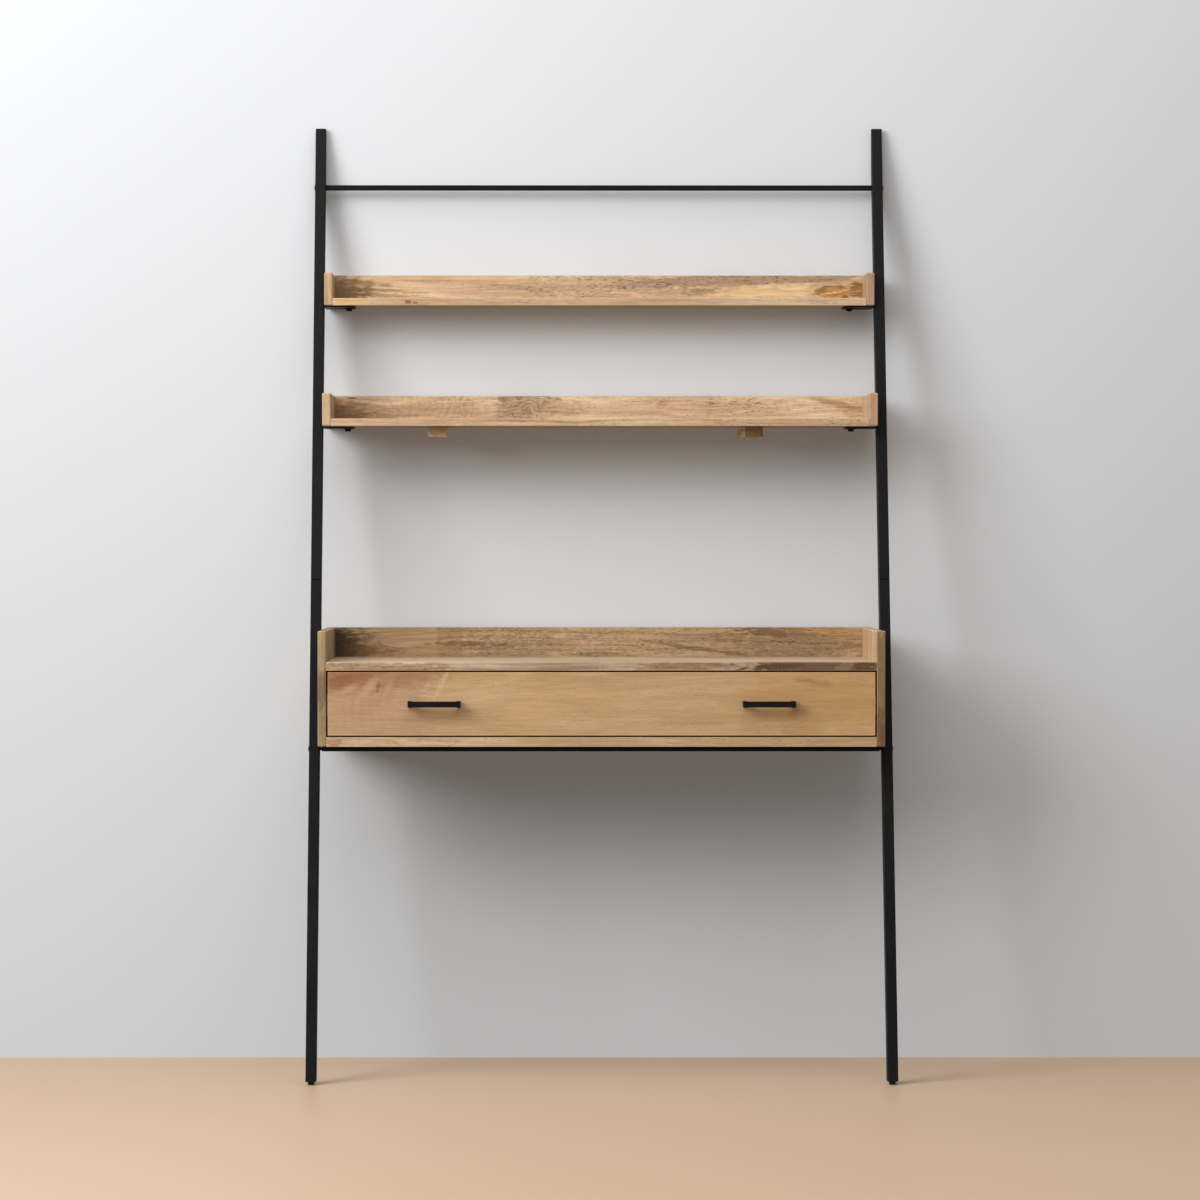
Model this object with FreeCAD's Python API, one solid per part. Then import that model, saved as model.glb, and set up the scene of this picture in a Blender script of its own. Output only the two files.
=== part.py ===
import FreeCAD, Part
import math
import os

# Leaning ladder desk: two steel posts lean on a wall and carry two tray shelves and a desk box
# with one wide drawer. Millimetres. +Z is up and +Y points to the wall. The origin is on the
# floor, midway between the posts and midway between the wall and the front edge of the feet.

Vector = FreeCAD.Vector

# Overall frame
frame_width = 1100.0            # across the outer faces of the posts
frame_height = 1810.0           # floor to the top of the posts
frame_depth = 410.0             # wall to the front edge of the feet
post_top_depth = 12.0           # wall to the front face of a post, at its top

# Post tube
tube_width = 20.0
tube_depth = 30.0
tube_wall = 1.5
tube_corner = 2.0               # outer corner radius
tube_inner_corner = 0.5
post_split_height = 936.0       # where the upper length stands on the lower one
split_land = 0.5                # wall left in contact there, inside the eased outer edges
sleeve_length = 120.0           # joining sleeve inside the split
sleeve_wall = 1.5
insert_clearance = 0.1          # around whatever slides into the tube

# Cap on the upright cut at the top of a post
cap_lip = 4.0                   # height of the lip that shows above the tube
cap_pad = 2.0                   # thickness of the pad that lies on the wall
cap_plug_length = 22.0
cap_edge = 1.0                  # rounding of its top edges

# Levelling glide and its plug
glide_height = 6.0              # floor to the end of the tube
glide_radius = 6.0
glide_edge = 1.0
stem_radius = 3.0
stem_length = 16.0
stem_clearance = 0.05
foot_plug_length = 26.0

# Crossbar near the top and rail under the desk
crossbar_size = 10.0            # square section
crossbar_drop = 116.0           # from the top of the posts down to its centre line
rail_size = 10.0                # square section
rail_end_gap = 3.5              # between the end of the rail and a post
bar_edge = 0.8

# Bolts that hold the two bars between the posts
frame_bolt_radius = 3.0
frame_bolt_length = 36.0
frame_bolt_head_radius = 5.0
frame_bolt_head_height = 2.0
frame_bolt_head_dome = 1.4
frame_bolt_socket_flats = 4.0   # six-sided socket in the head
frame_bolt_socket_depth = 1.4
bolt_clearance = 0.2            # round a bolt in a plain hole
thread_clearance = 0.05         # round a bolt or screw in its tapped hole
tapped_extra_depth = 2.0        # a tapped hole goes this far past the end of the screw

# Flat brackets on the posts, and the bolts that hold the boards down on them
bracket_reach = 58.0            # from the post toward the middle
bracket_depth = 80.0            # from the front face of the post toward the wall
bracket_thickness = 3.0
bracket_corner = 9.0            # cut corners at the free end
bracket_bolt_reach = 46.0       # from the post to the bolt
bracket_bolt_radius = 3.0
bracket_bolt_grip = 10.0        # length in the board
bracket_bolt_flange_radius = 8.5
bracket_bolt_flange_height = 1.5
bracket_bolt_head_flats = 10.0  # six-sided head
bracket_bolt_head_height = 4.0
bracket_bolt_head_edge = 1.0

# Tray shelves
upper_shelf_drop = 348.0        # from the top of the posts down to its underside
upper_shelf_depth = 98.0
shelf_spacing = 234.0           # between the undersides of the two shelves
middle_shelf_depth = 180.0
tray_height = 63.0              # underside to the top of the end panels
shelf_board_thickness = 14.0
shelf_back_thickness = 14.0
shelf_end_thickness = 16.0
post_side_gap = 0.5             # between a post and the wood beside it
wall_gap = 2.0                  # between the wall and the wood
board_ease = 0.8                # rounding of sawn board edges
panel_ease = 2.5                # rounding of the end panels and desk sides

# Cross recess in the heads of the wood screws and pull screws
recess_length = 5.0
recess_width = 1.1
recess_depth = 1.4

# Small turning blocks under the middle shelf
block_width = 36.0
block_length = 70.0
block_height = 20.0
block_setback = 31.0            # from the front of the shelf to the front of a square-on block
left_block_inset = 203.5        # from the end of the shelf board to the middle of the block
right_block_inset = 224.5
right_block_turn = 9.0          # degrees against the clock, seen from above
block_screw_radius = 2.2
block_screw_clearance = 0.08
block_screw_head_radius = 4.5
block_screw_head_height = 3.0
block_screw_recess = 5.0        # depth of the head's recess
block_recess_clearance = 0.4
block_screw_grip = 10.0         # length in the shelf board

# Desk box
desk_height = 625.0             # floor to the underside
desk_depth = 353.0
desk_side_height = 216.0
desk_side_thickness = 16.0
desk_bottom_thickness = 18.0
desk_top_thickness = 16.0
gallery_height = 58.0           # desk top to the top of the sides
gallery_thickness = 14.0
rear_panel_thickness = 10.0

# Dowels in the butt joints
dowel_radius = 4.0
dowel_in_panel = 11.0           # depth in the end panel or side
dowel_in_board = 18.0           # depth in the board that butts on it
dowel_clearance = 0.05
dowel_bottom_room = 1.0         # left empty at the bottom of a dowel hole
shelf_dowel_margin = 24.0       # from the front and back of a shelf board
desk_dowel_margin = 60.0        # from the front and back of a desk board

# Drawer
drawer_gap = 2.8                # round the drawer front
drawer_front_thickness = 16.0
drawer_side_thickness = 12.0
drawer_side_height = 90.0
drawer_side_lift = 14.0         # from the desk bottom to the drawer sides
drawer_back_thickness = 12.0
drawer_bottom_thickness = 6.0
drawer_bottom_lift = 8.0        # from the lower edge of a side to its groove
groove_depth = 6.0
groove_clearance = 0.1
drawer_rear_room = 7.0          # between the drawer and the rear panel
drawer_dowel_margin = 18.0      # from the upper edge of a side, and from its groove

# Runners: a channel on each desk side, and a narrower one on the drawer that rides in it
runner_space = 12.7             # between a desk side and the drawer
runner_height = 38.0
runner_wall = 1.5
runner_reach = 11.0             # how far the outer channel stands out
runner_play = 0.3
runner_front_setback = 6.0      # behind the drawer front
runner_rear_setback = 6.0       # ahead of the rear end of the drawer side
runner_screw_radius = 1.9
runner_screw_grip = 8.0
runner_screw_head_radius = 3.6
runner_screw_head_height = 1.6
runner_screw_margin = 40.0      # from each end of the runner

# Bar pulls
handle_length = 98.0
handle_bar_height = 10.8
handle_bar_thickness = 8.0
handle_projection = 28.0        # drawer front to the face of the pull
handle_inset = 198.7            # from the end of the drawer front to the middle of a pull
handle_leg_width = 8.0
handle_leg_height = 11.6
handle_edge = 0.8
handle_screw_radius = 2.0
handle_screw_grip = 10.0        # length in the leg of the pull
handle_screw_head_radius = 4.2
handle_screw_head_height = 2.4

# Places worked out from the sizes above
wall_y = frame_depth / 2
foot_front_y = -frame_depth / 2
lean = math.atan2(frame_depth - post_top_depth, frame_height - glide_height)
tube_run = tube_depth / math.cos(lean)          # depth of the tube measured level
post_x = -(frame_width - tube_width) / 2        # middle of the left post
post_inner_x = -frame_width / 2 + tube_width    # inner face of the left post
split_along = (post_split_height - glide_height) / math.cos(lean)
top_along = (frame_height - glide_height) / math.cos(lean)
overrun = 2 * tube_depth                        # spare length that the end cuts remove
touch = 1e-6                                    # two heights this close are the same
crossbar_height = frame_height - crossbar_drop
upper_shelf_height = frame_height - upper_shelf_drop
middle_shelf_height = upper_shelf_height - shelf_spacing
wood_left_x = post_inner_x + post_side_gap
shelf_joint_x = wood_left_x + shelf_end_thickness   # left end of the shelf boards
wood_rear_y = wall_y - wall_gap
bore_inset = tube_wall + insert_clearance
bore_width = tube_width - 2 * bore_inset
bore_depth = tube_depth - 2 * bore_inset


def front_y(height):
    """Front face of the posts at a height above the floor."""
    return foot_front_y + (height - glide_height) * math.tan(lean)


def middle_y(height):
    """Middle of the posts, front to back, at a height above the floor."""
    return front_y(height) + tube_run / 2


def box(x_low, x_high, y_low, y_high, z_low, z_high):
    """Plain box between two corners."""
    corner = Vector(x_low, y_low, z_low)
    return Part.makeBox(x_high - x_low, y_high - y_low, z_high - z_low, corner)


def rod(start, direction, radius, length):
    """Cylinder from a point along a direction."""
    return Part.makeCylinder(radius, length, start, direction)


def eased(shape, radius):
    """The shape with all its edges slightly rounded."""
    return shape.makeFillet(radius, shape.Edges)


def rims_at(shape, level):
    """The edges of a shape that lie at one height."""
    return [edge for edge in shape.Edges
            if abs(edge.BoundBox.ZMin - level) < touch and abs(edge.BoundBox.ZMax - level) < touch]


def ends_rounded(shape, radius, level):
    """The shape with its edges at one height rounded over."""
    return shape.makeFillet(radius, rims_at(shape, level))


def hexagon(middle, flats, height):
    """Six-sided upright prism over a point."""
    radius = flats / math.sqrt(3)
    turns = [math.radians(60 * corner) for corner in range(6)]
    outline = [middle + Vector(radius * math.cos(turn), radius * math.sin(turn), 0) for turn in turns]
    return Part.Face(Part.makePolygon(outline + outline[:1])).extrude(Vector(0, 0, height))


def cross_recess():
    """Cross-shaped recess for a screwdriver, standing on the origin."""
    half_length = recess_length / 2
    half_width = recess_width / 2
    along = box(-half_length, half_length, -half_width, half_width, 0, recess_depth)
    across = box(-half_width, half_width, -half_length, half_length, 0, recess_depth)
    return along.fuse(across)


def other_side(shape):
    """The same piece for the right-hand side."""
    return shape.mirror(Vector(0, 0, 0), Vector(1, 0, 0))


def both_sides(shapes):
    """Left-hand pieces together with their right-hand twins."""
    return shapes + [other_side(shape) for shape in shapes]


def cut_all(shape, cutters):
    """The shape with every cutter taken away."""
    return shape.cut(Part.makeCompound(cutters))


def save(name, shape):
    """Write one named piece, or one group of like pieces."""
    if not shape.isValid():
        raise ValueError(name + " is not a valid solid")
    shape.exportStep("parts/" + name + ".step")


def save_pair(name, left_shape):
    """Write a left-hand piece and its right-hand twin."""
    save("left_" + name, left_shape)
    save("right_" + name, other_side(left_shape))


def save_group(name, shapes):
    """Write like fasteners as separate solids in one group."""
    save(name, Part.makeCompound(shapes))


# Posts

def upright_bar(width, depth, inset, corner, low, high):
    """Bar with rounded long edges, set back from the front, from low to high."""
    bar = Part.makeBox(width, depth, high - low, Vector(-width / 2, inset, low))
    long_edges = [edge for edge in bar.Edges if edge.BoundBox.ZLength > (high - low) / 2]
    return bar.makeFillet(corner, long_edges)


def leaned(bar):
    """An upright bar laid into the line of the left post."""
    bar.rotate(Vector(0, 0, 0), Vector(1, 0, 0), -math.degrees(lean))
    bar.translate(Vector(post_x, foot_front_y, glide_height))
    return bar


def leaning_bar(width, depth, inset, corner, low, high):
    """Bar that follows the left post, set back from its front face, from low to high along it."""
    return leaned(upright_bar(width, depth, inset, corner, low, high))


def tube(low, high):
    """Length of hollow post between two places along it, its outer edges cut back at the split."""
    outside = upright_bar(tube_width, tube_depth, 0, tube_corner, low, high)
    outside = outside.makeChamfer(tube_wall - split_land, rims_at(outside, split_along))
    inside = upright_bar(tube_width - 2 * tube_wall, tube_depth - 2 * tube_wall, tube_wall,
                         tube_inner_corner, low - overrun, high + overrun)
    return leaned(outside.cut(inside))


def kept_space(z_low, z_high, y_high):
    """Everything between two heights, as far back as a limit."""
    return box(-frame_width, frame_width, -2 * frame_depth, y_high, z_low, z_high)


def frame_bolt_place(height):
    """Where the axis of a frame bolt crosses the outer face of the left post."""
    return Vector(-frame_width / 2, middle_y(height), height)


def frame_bolt_hole(height):
    """Plain hole for a frame bolt through both walls of a post."""
    start = frame_bolt_place(height) - Vector(tube_width, 0, 0)
    return rod(start, Vector(1, 0, 0), frame_bolt_radius + bolt_clearance, 3 * tube_width)


rail_height = desk_height - bracket_thickness - rail_size / 2   # floor to the centre line


def lower_post():
    """Lower length of the left post, cut level at the floor end and square at the split."""
    length = tube(-overrun, split_along)
    length = length.common(kept_space(glide_height, frame_height, 2 * wall_y))
    return length.cut(frame_bolt_hole(rail_height))


def upper_post():
    """Upper length of the left post, its back cut upright to lie along the wall."""
    length = tube(split_along, top_along + overrun)
    length = length.common(kept_space(0, frame_height - cap_lip, wall_y - cap_pad))
    return length.cut(frame_bolt_hole(crossbar_height))


def post_sleeve():
    """Joining sleeve inside the split of the left post."""
    low = split_along - sleeve_length / 2
    high = split_along + sleeve_length / 2
    outside = leaning_bar(bore_width, bore_depth, bore_inset, tube_inner_corner, low, high)
    inside = leaning_bar(bore_width - 2 * sleeve_wall, bore_depth - 2 * sleeve_wall,
                         bore_inset + sleeve_wall, tube_inner_corner, low - overrun, high + overrun)
    return outside.cut(inside)


def post_cap():
    """Cap on the top of the left post: lip, wall pad and the plug that holds it in the tube."""
    pad_low = glide_height + (wall_y - tube_run - foot_front_y) / math.tan(lean)
    tube_top = frame_height - cap_lip
    tube_back = wall_y - cap_pad
    cover = leaning_bar(tube_width, tube_depth, 0, tube_corner, split_along, top_along + overrun)
    cover = cover.common(kept_space(pad_low, frame_height, wall_y))
    cover = cover.cut(kept_space(0, tube_top, tube_back))
    cover = ends_rounded(cover, cap_edge, frame_height)
    plug = leaning_bar(bore_width, bore_depth, bore_inset, tube_inner_corner,
                       split_along, top_along + overrun)
    plug = plug.common(kept_space(tube_top - cap_plug_length, tube_top, tube_back))
    return cover.fuse(plug).removeSplitter()


def glide_place():
    """Centre of the left glide, on the floor."""
    return Vector(post_x, middle_y(glide_height), 0)


def foot_plug():
    """Plug in the lower end of the left post, with the upright hole for the glide's stem."""
    plug = leaning_bar(bore_width, bore_depth, bore_inset, tube_inner_corner,
                       -overrun, foot_plug_length)
    plug = plug.common(kept_space(glide_height, frame_height, wall_y))
    hole = rod(glide_place(), Vector(0, 0, 1), stem_radius + stem_clearance,
               glide_height + 2 * foot_plug_length)
    return plug.cut(hole)


def glide():
    """Levelling glide under the left post: a round pad on a screwed stem."""
    pad = rod(glide_place(), Vector(0, 0, 1), glide_radius, glide_height)
    pad = ends_rounded(pad, glide_edge, 0)
    stem = rod(glide_place(), Vector(0, 0, 1), stem_radius, glide_height + stem_length)
    return pad.fuse(stem).removeSplitter()


def build_posts():
    save_pair("lower_post", lower_post())
    save_pair("upper_post", upper_post())
    save_pair("post_sleeve", post_sleeve())
    save_pair("post_cap", post_cap())
    save_pair("foot_plug", foot_plug())
    save_pair("glide", glide())


# Bars between the posts

def frame_bolt(height):
    """Bolt through the left post into the end of a bar, with a low domed socket head outside."""
    head_start = Vector(0, 0, -frame_bolt_head_height)
    head = rod(head_start, Vector(0, 0, 1), frame_bolt_head_radius, frame_bolt_head_height)
    head = ends_rounded(head, frame_bolt_head_dome, -frame_bolt_head_height)
    bolt = head.fuse(rod(Vector(0, 0, 0), Vector(0, 0, 1), frame_bolt_radius, frame_bolt_length))
    bolt = bolt.removeSplitter().cut(hexagon(head_start, frame_bolt_socket_flats, frame_bolt_socket_depth))
    bolt.rotate(Vector(0, 0, 0), Vector(0, 1, 0), 90)
    bolt.translate(frame_bolt_place(height))
    return bolt


def frame_bar(size, height, end_gap):
    """Square bar between the posts with a tapped hole in each end."""
    half = -post_inner_x - end_gap
    middle = middle_y(height)
    bar = box(-half, half, middle - size / 2, middle + size / 2, height - size / 2, height + size / 2)
    bar = eased(bar, bar_edge)
    hole = rod(frame_bolt_place(height), Vector(1, 0, 0), frame_bolt_radius + thread_clearance,
               frame_bolt_length + tapped_extra_depth)
    return cut_all(bar, both_sides([hole]))


def build_bars():
    save("crossbar", frame_bar(crossbar_size, crossbar_height, 0))
    save("desk_rail", frame_bar(rail_size, rail_height, rail_end_gap))
    save_group("frame_bolts", both_sides([frame_bolt(crossbar_height), frame_bolt(rail_height)]))


# Brackets under the shelves and the desk

def bracket_bolt_place(underside):
    """Where a left bracket bolt crosses the underside of the board above it."""
    return Vector(post_inner_x + bracket_bolt_reach, front_y(underside) + bracket_depth / 2, underside)


def bracket(underside):
    """Flat plate on the inner face of the left post, with cut corners at its free end."""
    front = front_y(underside)
    back = front + bracket_depth
    free_end = post_inner_x + bracket_reach
    low = underside - bracket_thickness
    outline = [Vector(post_inner_x, front, low), Vector(free_end - bracket_corner, front, low),
               Vector(free_end, front + bracket_corner, low), Vector(free_end, back - bracket_corner, low),
               Vector(free_end - bracket_corner, back, low), Vector(post_inner_x, back, low)]
    plate = Part.Face(Part.makePolygon(outline + outline[:1])).extrude(Vector(0, 0, bracket_thickness))
    start = bracket_bolt_place(underside) - Vector(0, 0, 2 * bracket_thickness)
    hole = rod(start, Vector(0, 0, 1), bracket_bolt_radius + bolt_clearance, 3 * bracket_thickness)
    return plate.cut(hole)


def bracket_bolt(underside):
    """Flanged six-sided bolt up through the left bracket into the board."""
    up = Vector(0, 0, 1)
    seat = bracket_bolt_place(underside) - Vector(0, 0, bracket_thickness)
    flange_low = seat - Vector(0, 0, bracket_bolt_flange_height)
    head_low = flange_low - Vector(0, 0, bracket_bolt_head_height)
    head = hexagon(head_low, bracket_bolt_head_flats, bracket_bolt_head_height)
    head = ends_rounded(head, bracket_bolt_head_edge, head_low.z)
    flange = rod(flange_low, up, bracket_bolt_flange_radius, bracket_bolt_flange_height)
    shank = rod(seat, up, bracket_bolt_radius, bracket_thickness + bracket_bolt_grip)
    return head.fuse([flange, shank]).removeSplitter()


def bracket_bolt_holes(underside):
    """Blind holes for the bracket bolts in the board above, left and right."""
    hole = rod(bracket_bolt_place(underside), Vector(0, 0, 1), bracket_bolt_radius + thread_clearance,
               bracket_bolt_grip + tapped_extra_depth)
    return both_sides([hole])


def build_brackets():
    levels = {"upper": upper_shelf_height, "middle": middle_shelf_height, "desk": desk_height}
    bolts = []
    for name, underside in levels.items():
        save("left_" + name + "_bracket", bracket(underside))
        save("right_" + name + "_bracket", other_side(bracket(underside)))
        bolts += both_sides([bracket_bolt(underside)])
    save_group("bracket_bolts", bolts)


# Dowelled boards

def dowel(joint_x, y, z):
    """Dowel across the left-hand joint between a panel and the board that butts on it."""
    start = Vector(joint_x - dowel_in_panel, y, z)
    return rod(start, Vector(1, 0, 0), dowel_radius, dowel_in_panel + dowel_in_board)


def dowel_hole(joint_x, y, z):
    """Hole for the same dowel, a little wider and longer."""
    start = Vector(joint_x - dowel_in_panel - dowel_bottom_room, y, z)
    length = dowel_in_panel + dowel_in_board + 2 * dowel_bottom_room
    return rod(start, Vector(1, 0, 0), dowel_radius + dowel_clearance, length)


def dowel_set(joint_x, places):
    """Left-hand dowels at a list of places, given as y and z."""
    return [dowel(joint_x, y, z) for y, z in places]


def dowel_hole_set(joint_x, places):
    """Left-hand dowel holes at a list of places."""
    return [dowel_hole(joint_x, y, z) for y, z in places]


def side_panel(thickness, front, low, high):
    """Left-hand upright panel from the front line to the rear line of the wood."""
    panel = box(wood_left_x, wood_left_x + thickness, front, wood_rear_y, low, high)
    return eased(panel, panel_ease)


def cross_board(joint_x, front, rear, low, high):
    """Board that spans between the two panels."""
    return eased(box(joint_x, -joint_x, front, rear, low, high), board_ease)


# Tray shelves

def shelf_dowel_places(underside, front):
    """Dowel places in a tray shelf: two in the board and one in the back."""
    board_level = underside + shelf_board_thickness / 2
    back_level = underside + (shelf_board_thickness + tray_height) / 2
    return [(front + shelf_dowel_margin, board_level),
            (wood_rear_y - shelf_dowel_margin, board_level),
            (wood_rear_y - shelf_back_thickness / 2, back_level)]


def build_tray_shelf(name, underside, depth, board_cutters):
    """One tray shelf: board, back and two end panels. Returns its dowels."""
    front = wood_rear_y - depth
    board_top = underside + shelf_board_thickness
    tray_top = underside + tray_height
    places = shelf_dowel_places(underside, front)
    holes = both_sides(dowel_hole_set(shelf_joint_x, places))
    board = cross_board(shelf_joint_x, front, wood_rear_y, underside, board_top)
    back = cross_board(shelf_joint_x, wood_rear_y - shelf_back_thickness, wood_rear_y,
                       board_top, tray_top)
    end = side_panel(shelf_end_thickness, front, underside, tray_top)
    end = cut_all(end, holes)
    save(name + "_board", cut_all(board, holes + bracket_bolt_holes(underside) + board_cutters))
    save(name + "_back", cut_all(back, holes))
    save(name + "_left_end", end)
    save(name + "_right_end", other_side(end))
    return both_sides(dowel_set(shelf_joint_x, places))


# Turning blocks under the middle shelf

block_y = wood_rear_y - middle_shelf_depth + block_setback + block_length / 2
left_block_x = shelf_joint_x + left_block_inset
right_block_x = -shelf_joint_x - right_block_inset


def turning_block(x, turn):
    """Wood block that turns on one screw, with a recess below for the screw's head."""
    low = middle_shelf_height - block_height
    block = box(-block_width / 2, block_width / 2, -block_length / 2, block_length / 2,
                low, middle_shelf_height)
    block = eased(block, board_ease)
    up = Vector(0, 0, 1)
    start = Vector(0, 0, low - block_height)
    hole = rod(start, up, block_screw_radius + block_screw_clearance, 3 * block_height)
    recess = rod(start, up, block_screw_head_radius + block_recess_clearance,
                 block_height + block_screw_recess)
    block = cut_all(block, [hole, recess])
    block.rotate(Vector(0, 0, 0), up, turn)
    block.translate(Vector(x, block_y, 0))
    return block


def block_screw(x):
    """Pan-head screw up through a block into the shelf board."""
    up = Vector(0, 0, 1)
    seat = Vector(x, block_y, middle_shelf_height - block_height + block_screw_recess)
    head_face = seat - Vector(0, 0, block_screw_head_height)
    head = rod(head_face, up, block_screw_head_radius, block_screw_head_height)
    shank = rod(seat, up, block_screw_radius, block_height - block_screw_recess + block_screw_grip)
    recess = cross_recess()
    recess.translate(head_face)
    return head.fuse(shank).removeSplitter().cut(recess)


def block_screw_hole(x):
    """Blind hole for a block's screw in the shelf board."""
    start = Vector(x, block_y, middle_shelf_height)
    return rod(start, Vector(0, 0, 1), block_screw_radius + thread_clearance,
               block_screw_grip + tapped_extra_depth)


def build_shelves():
    """Both tray shelves and the turning blocks. Returns the shelves' dowels."""
    block_holes = [block_screw_hole(left_block_x), block_screw_hole(right_block_x)]
    dowels = build_tray_shelf("upper_shelf", upper_shelf_height, upper_shelf_depth, [])
    dowels += build_tray_shelf("middle_shelf", middle_shelf_height, middle_shelf_depth, block_holes)
    save("left_turning_block", turning_block(left_block_x, 0))
    save("right_turning_block", turning_block(right_block_x, right_block_turn))
    save_group("block_screws", [block_screw(left_block_x), block_screw(right_block_x)])
    return dowels


# Desk box

desk_front_y = wood_rear_y - desk_depth
desk_joint_x = wood_left_x + desk_side_thickness
desk_bottom_top = desk_height + desk_bottom_thickness
desk_side_top = desk_height + desk_side_height
desk_surface = desk_side_top - gallery_height
desk_ceiling = desk_surface - desk_top_thickness            # top of the drawer's opening


def desk_dowel_places():
    """Dowel places in the desk: two each in the bottom and the top, one in the gallery."""
    front = desk_front_y + desk_dowel_margin
    rear = wood_rear_y - desk_dowel_margin
    bottom_level = desk_height + desk_bottom_thickness / 2
    top_level = desk_surface - desk_top_thickness / 2
    return [(front, bottom_level), (rear, bottom_level), (front, top_level), (rear, top_level),
            (wood_rear_y - gallery_thickness / 2, desk_surface + gallery_height / 2)]


def build_desk(side_cutters):
    """Desk box without its drawer. Returns its dowels."""
    places = desk_dowel_places()
    holes = both_sides(dowel_hole_set(desk_joint_x, places))
    side = side_panel(desk_side_thickness, desk_front_y, desk_height, desk_side_top)
    bottom = cross_board(desk_joint_x, desk_front_y, wood_rear_y, desk_height, desk_bottom_top)
    top = cross_board(desk_joint_x, desk_front_y, wood_rear_y, desk_ceiling, desk_surface)
    gallery = cross_board(desk_joint_x, wood_rear_y - gallery_thickness, wood_rear_y,
                          desk_surface, desk_side_top)
    rear_panel = cross_board(desk_joint_x, wood_rear_y - rear_panel_thickness, wood_rear_y,
                             desk_bottom_top, desk_ceiling)
    save_pair("desk_side", cut_all(side, holes + side_cutters))
    save("desk_bottom", cut_all(bottom, holes + bracket_bolt_holes(desk_height)))
    save("desk_top", cut_all(top, holes))
    save("desk_gallery", cut_all(gallery, holes))
    save("desk_rear_panel", rear_panel)
    return both_sides(dowel_set(desk_joint_x, places))


# Drawer

drawer_left_x = desk_joint_x + runner_space                 # outer face of the left drawer side
drawer_inner_x = drawer_left_x + drawer_side_thickness
drawer_box_front_y = desk_front_y + drawer_front_thickness
drawer_box_rear_y = wood_rear_y - rear_panel_thickness - drawer_rear_room
drawer_side_low = desk_bottom_top + drawer_side_lift
drawer_side_high = drawer_side_low + drawer_side_height
drawer_floor_low = drawer_side_low + drawer_bottom_lift
drawer_floor_high = drawer_floor_low + drawer_bottom_thickness
drawer_front_low = desk_bottom_top + drawer_gap
drawer_front_high = desk_ceiling - drawer_gap
drawer_front_left_x = desk_joint_x + drawer_gap
left_handle_x = drawer_front_left_x + handle_inset
handle_level = (drawer_front_low + drawer_front_high) / 2
drawer_back_middle_y = drawer_box_rear_y - drawer_back_thickness / 2


def drawer_floor():
    """Drawer bottom, let into the sides and the front."""
    half = -drawer_inner_x + groove_depth
    return box(-half, half, drawer_box_front_y - groove_depth, drawer_box_rear_y,
               drawer_floor_low, drawer_floor_high)


def drawer_floor_groove():
    """Space that the drawer bottom needs in its neighbours."""
    half = -drawer_inner_x + groove_depth + groove_clearance
    return box(-half, half, drawer_box_front_y - groove_depth - groove_clearance, wood_rear_y,
               drawer_floor_low - groove_clearance, drawer_floor_high + groove_clearance)


def drawer_dowel_levels():
    """Heights of the two dowels in each corner of the drawer."""
    return [drawer_floor_high + drawer_dowel_margin, drawer_side_high - drawer_dowel_margin]


def front_dowel(level, spare, clearance):
    """Dowel from the left drawer side into the drawer front, or its hole when given a clearance."""
    into_front = dowel_in_panel + spare
    start = Vector(drawer_left_x + drawer_side_thickness / 2, drawer_box_front_y - into_front, level)
    return rod(start, Vector(0, 1, 0), dowel_radius + clearance, into_front + dowel_in_board + spare)


def back_dowel(level, spare, clearance):
    """Dowel from the drawer back into the left side, or its hole when given a clearance."""
    into_side = drawer_side_thickness / 2 + spare
    start = Vector(drawer_inner_x - into_side, drawer_back_middle_y, level)
    return rod(start, Vector(1, 0, 0), dowel_radius + clearance, into_side + dowel_in_board + spare)


def drawer_dowels(spare, clearance):
    """All dowels of the drawer, or their holes when given spare length and clearance."""
    pieces = []
    for level in drawer_dowel_levels():
        pieces.append(front_dowel(level, spare, clearance))
        pieces.append(back_dowel(level, spare, clearance))
    return both_sides(pieces)


def handle_places():
    """Middles of the two pulls on the face of the drawer front."""
    return [Vector(x, desk_front_y, handle_level) for x in (left_handle_x, -left_handle_x)]


def handle_leg_places(middle):
    """Where the middles of the two legs of a pull stand on the drawer front."""
    reach = (handle_length - handle_leg_width) / 2
    return [middle + Vector(x, 0, 0) for x in (-reach, reach)]


def handle_leg(place):
    """Leg at one end of a pull, as deep as the pull stands out."""
    leg = box(-handle_leg_width / 2, handle_leg_width / 2, -handle_projection, 0,
              -handle_leg_height / 2, handle_leg_height / 2)
    leg = eased(leg, handle_edge)
    leg.translate(place)
    return leg


def handle(middle):
    """Bar pull: a flat bar between two legs, which are tapped for its screws."""
    half_bar = handle_length / 2 - handle_leg_width / 2
    bar = box(-half_bar, half_bar, -handle_projection, -handle_projection + handle_bar_thickness,
              -handle_bar_height / 2, handle_bar_height / 2)
    bar = eased(bar, handle_edge)
    bar.translate(middle)
    places = handle_leg_places(middle)
    pull = bar.fuse([handle_leg(place) for place in places]).removeSplitter()
    holes = [rod(place, Vector(0, -1, 0), handle_screw_radius + thread_clearance,
                 handle_screw_grip + tapped_extra_depth) for place in places]
    return cut_all(pull, holes)


def handle_screw(place):
    """Screw from inside the drawer into the leg of a pull."""
    inside = place + Vector(0, drawer_front_thickness, 0)
    head = rod(inside, Vector(0, 1, 0), handle_screw_head_radius, handle_screw_head_height)
    shank = rod(inside, Vector(0, -1, 0), handle_screw_radius, drawer_front_thickness + handle_screw_grip)
    recess = cross_recess()
    recess.rotate(Vector(0, 0, 0), Vector(1, 0, 0), 90)
    recess.translate(inside + Vector(0, handle_screw_head_height, 0))
    return head.fuse(shank).removeSplitter().cut(recess)


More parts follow.
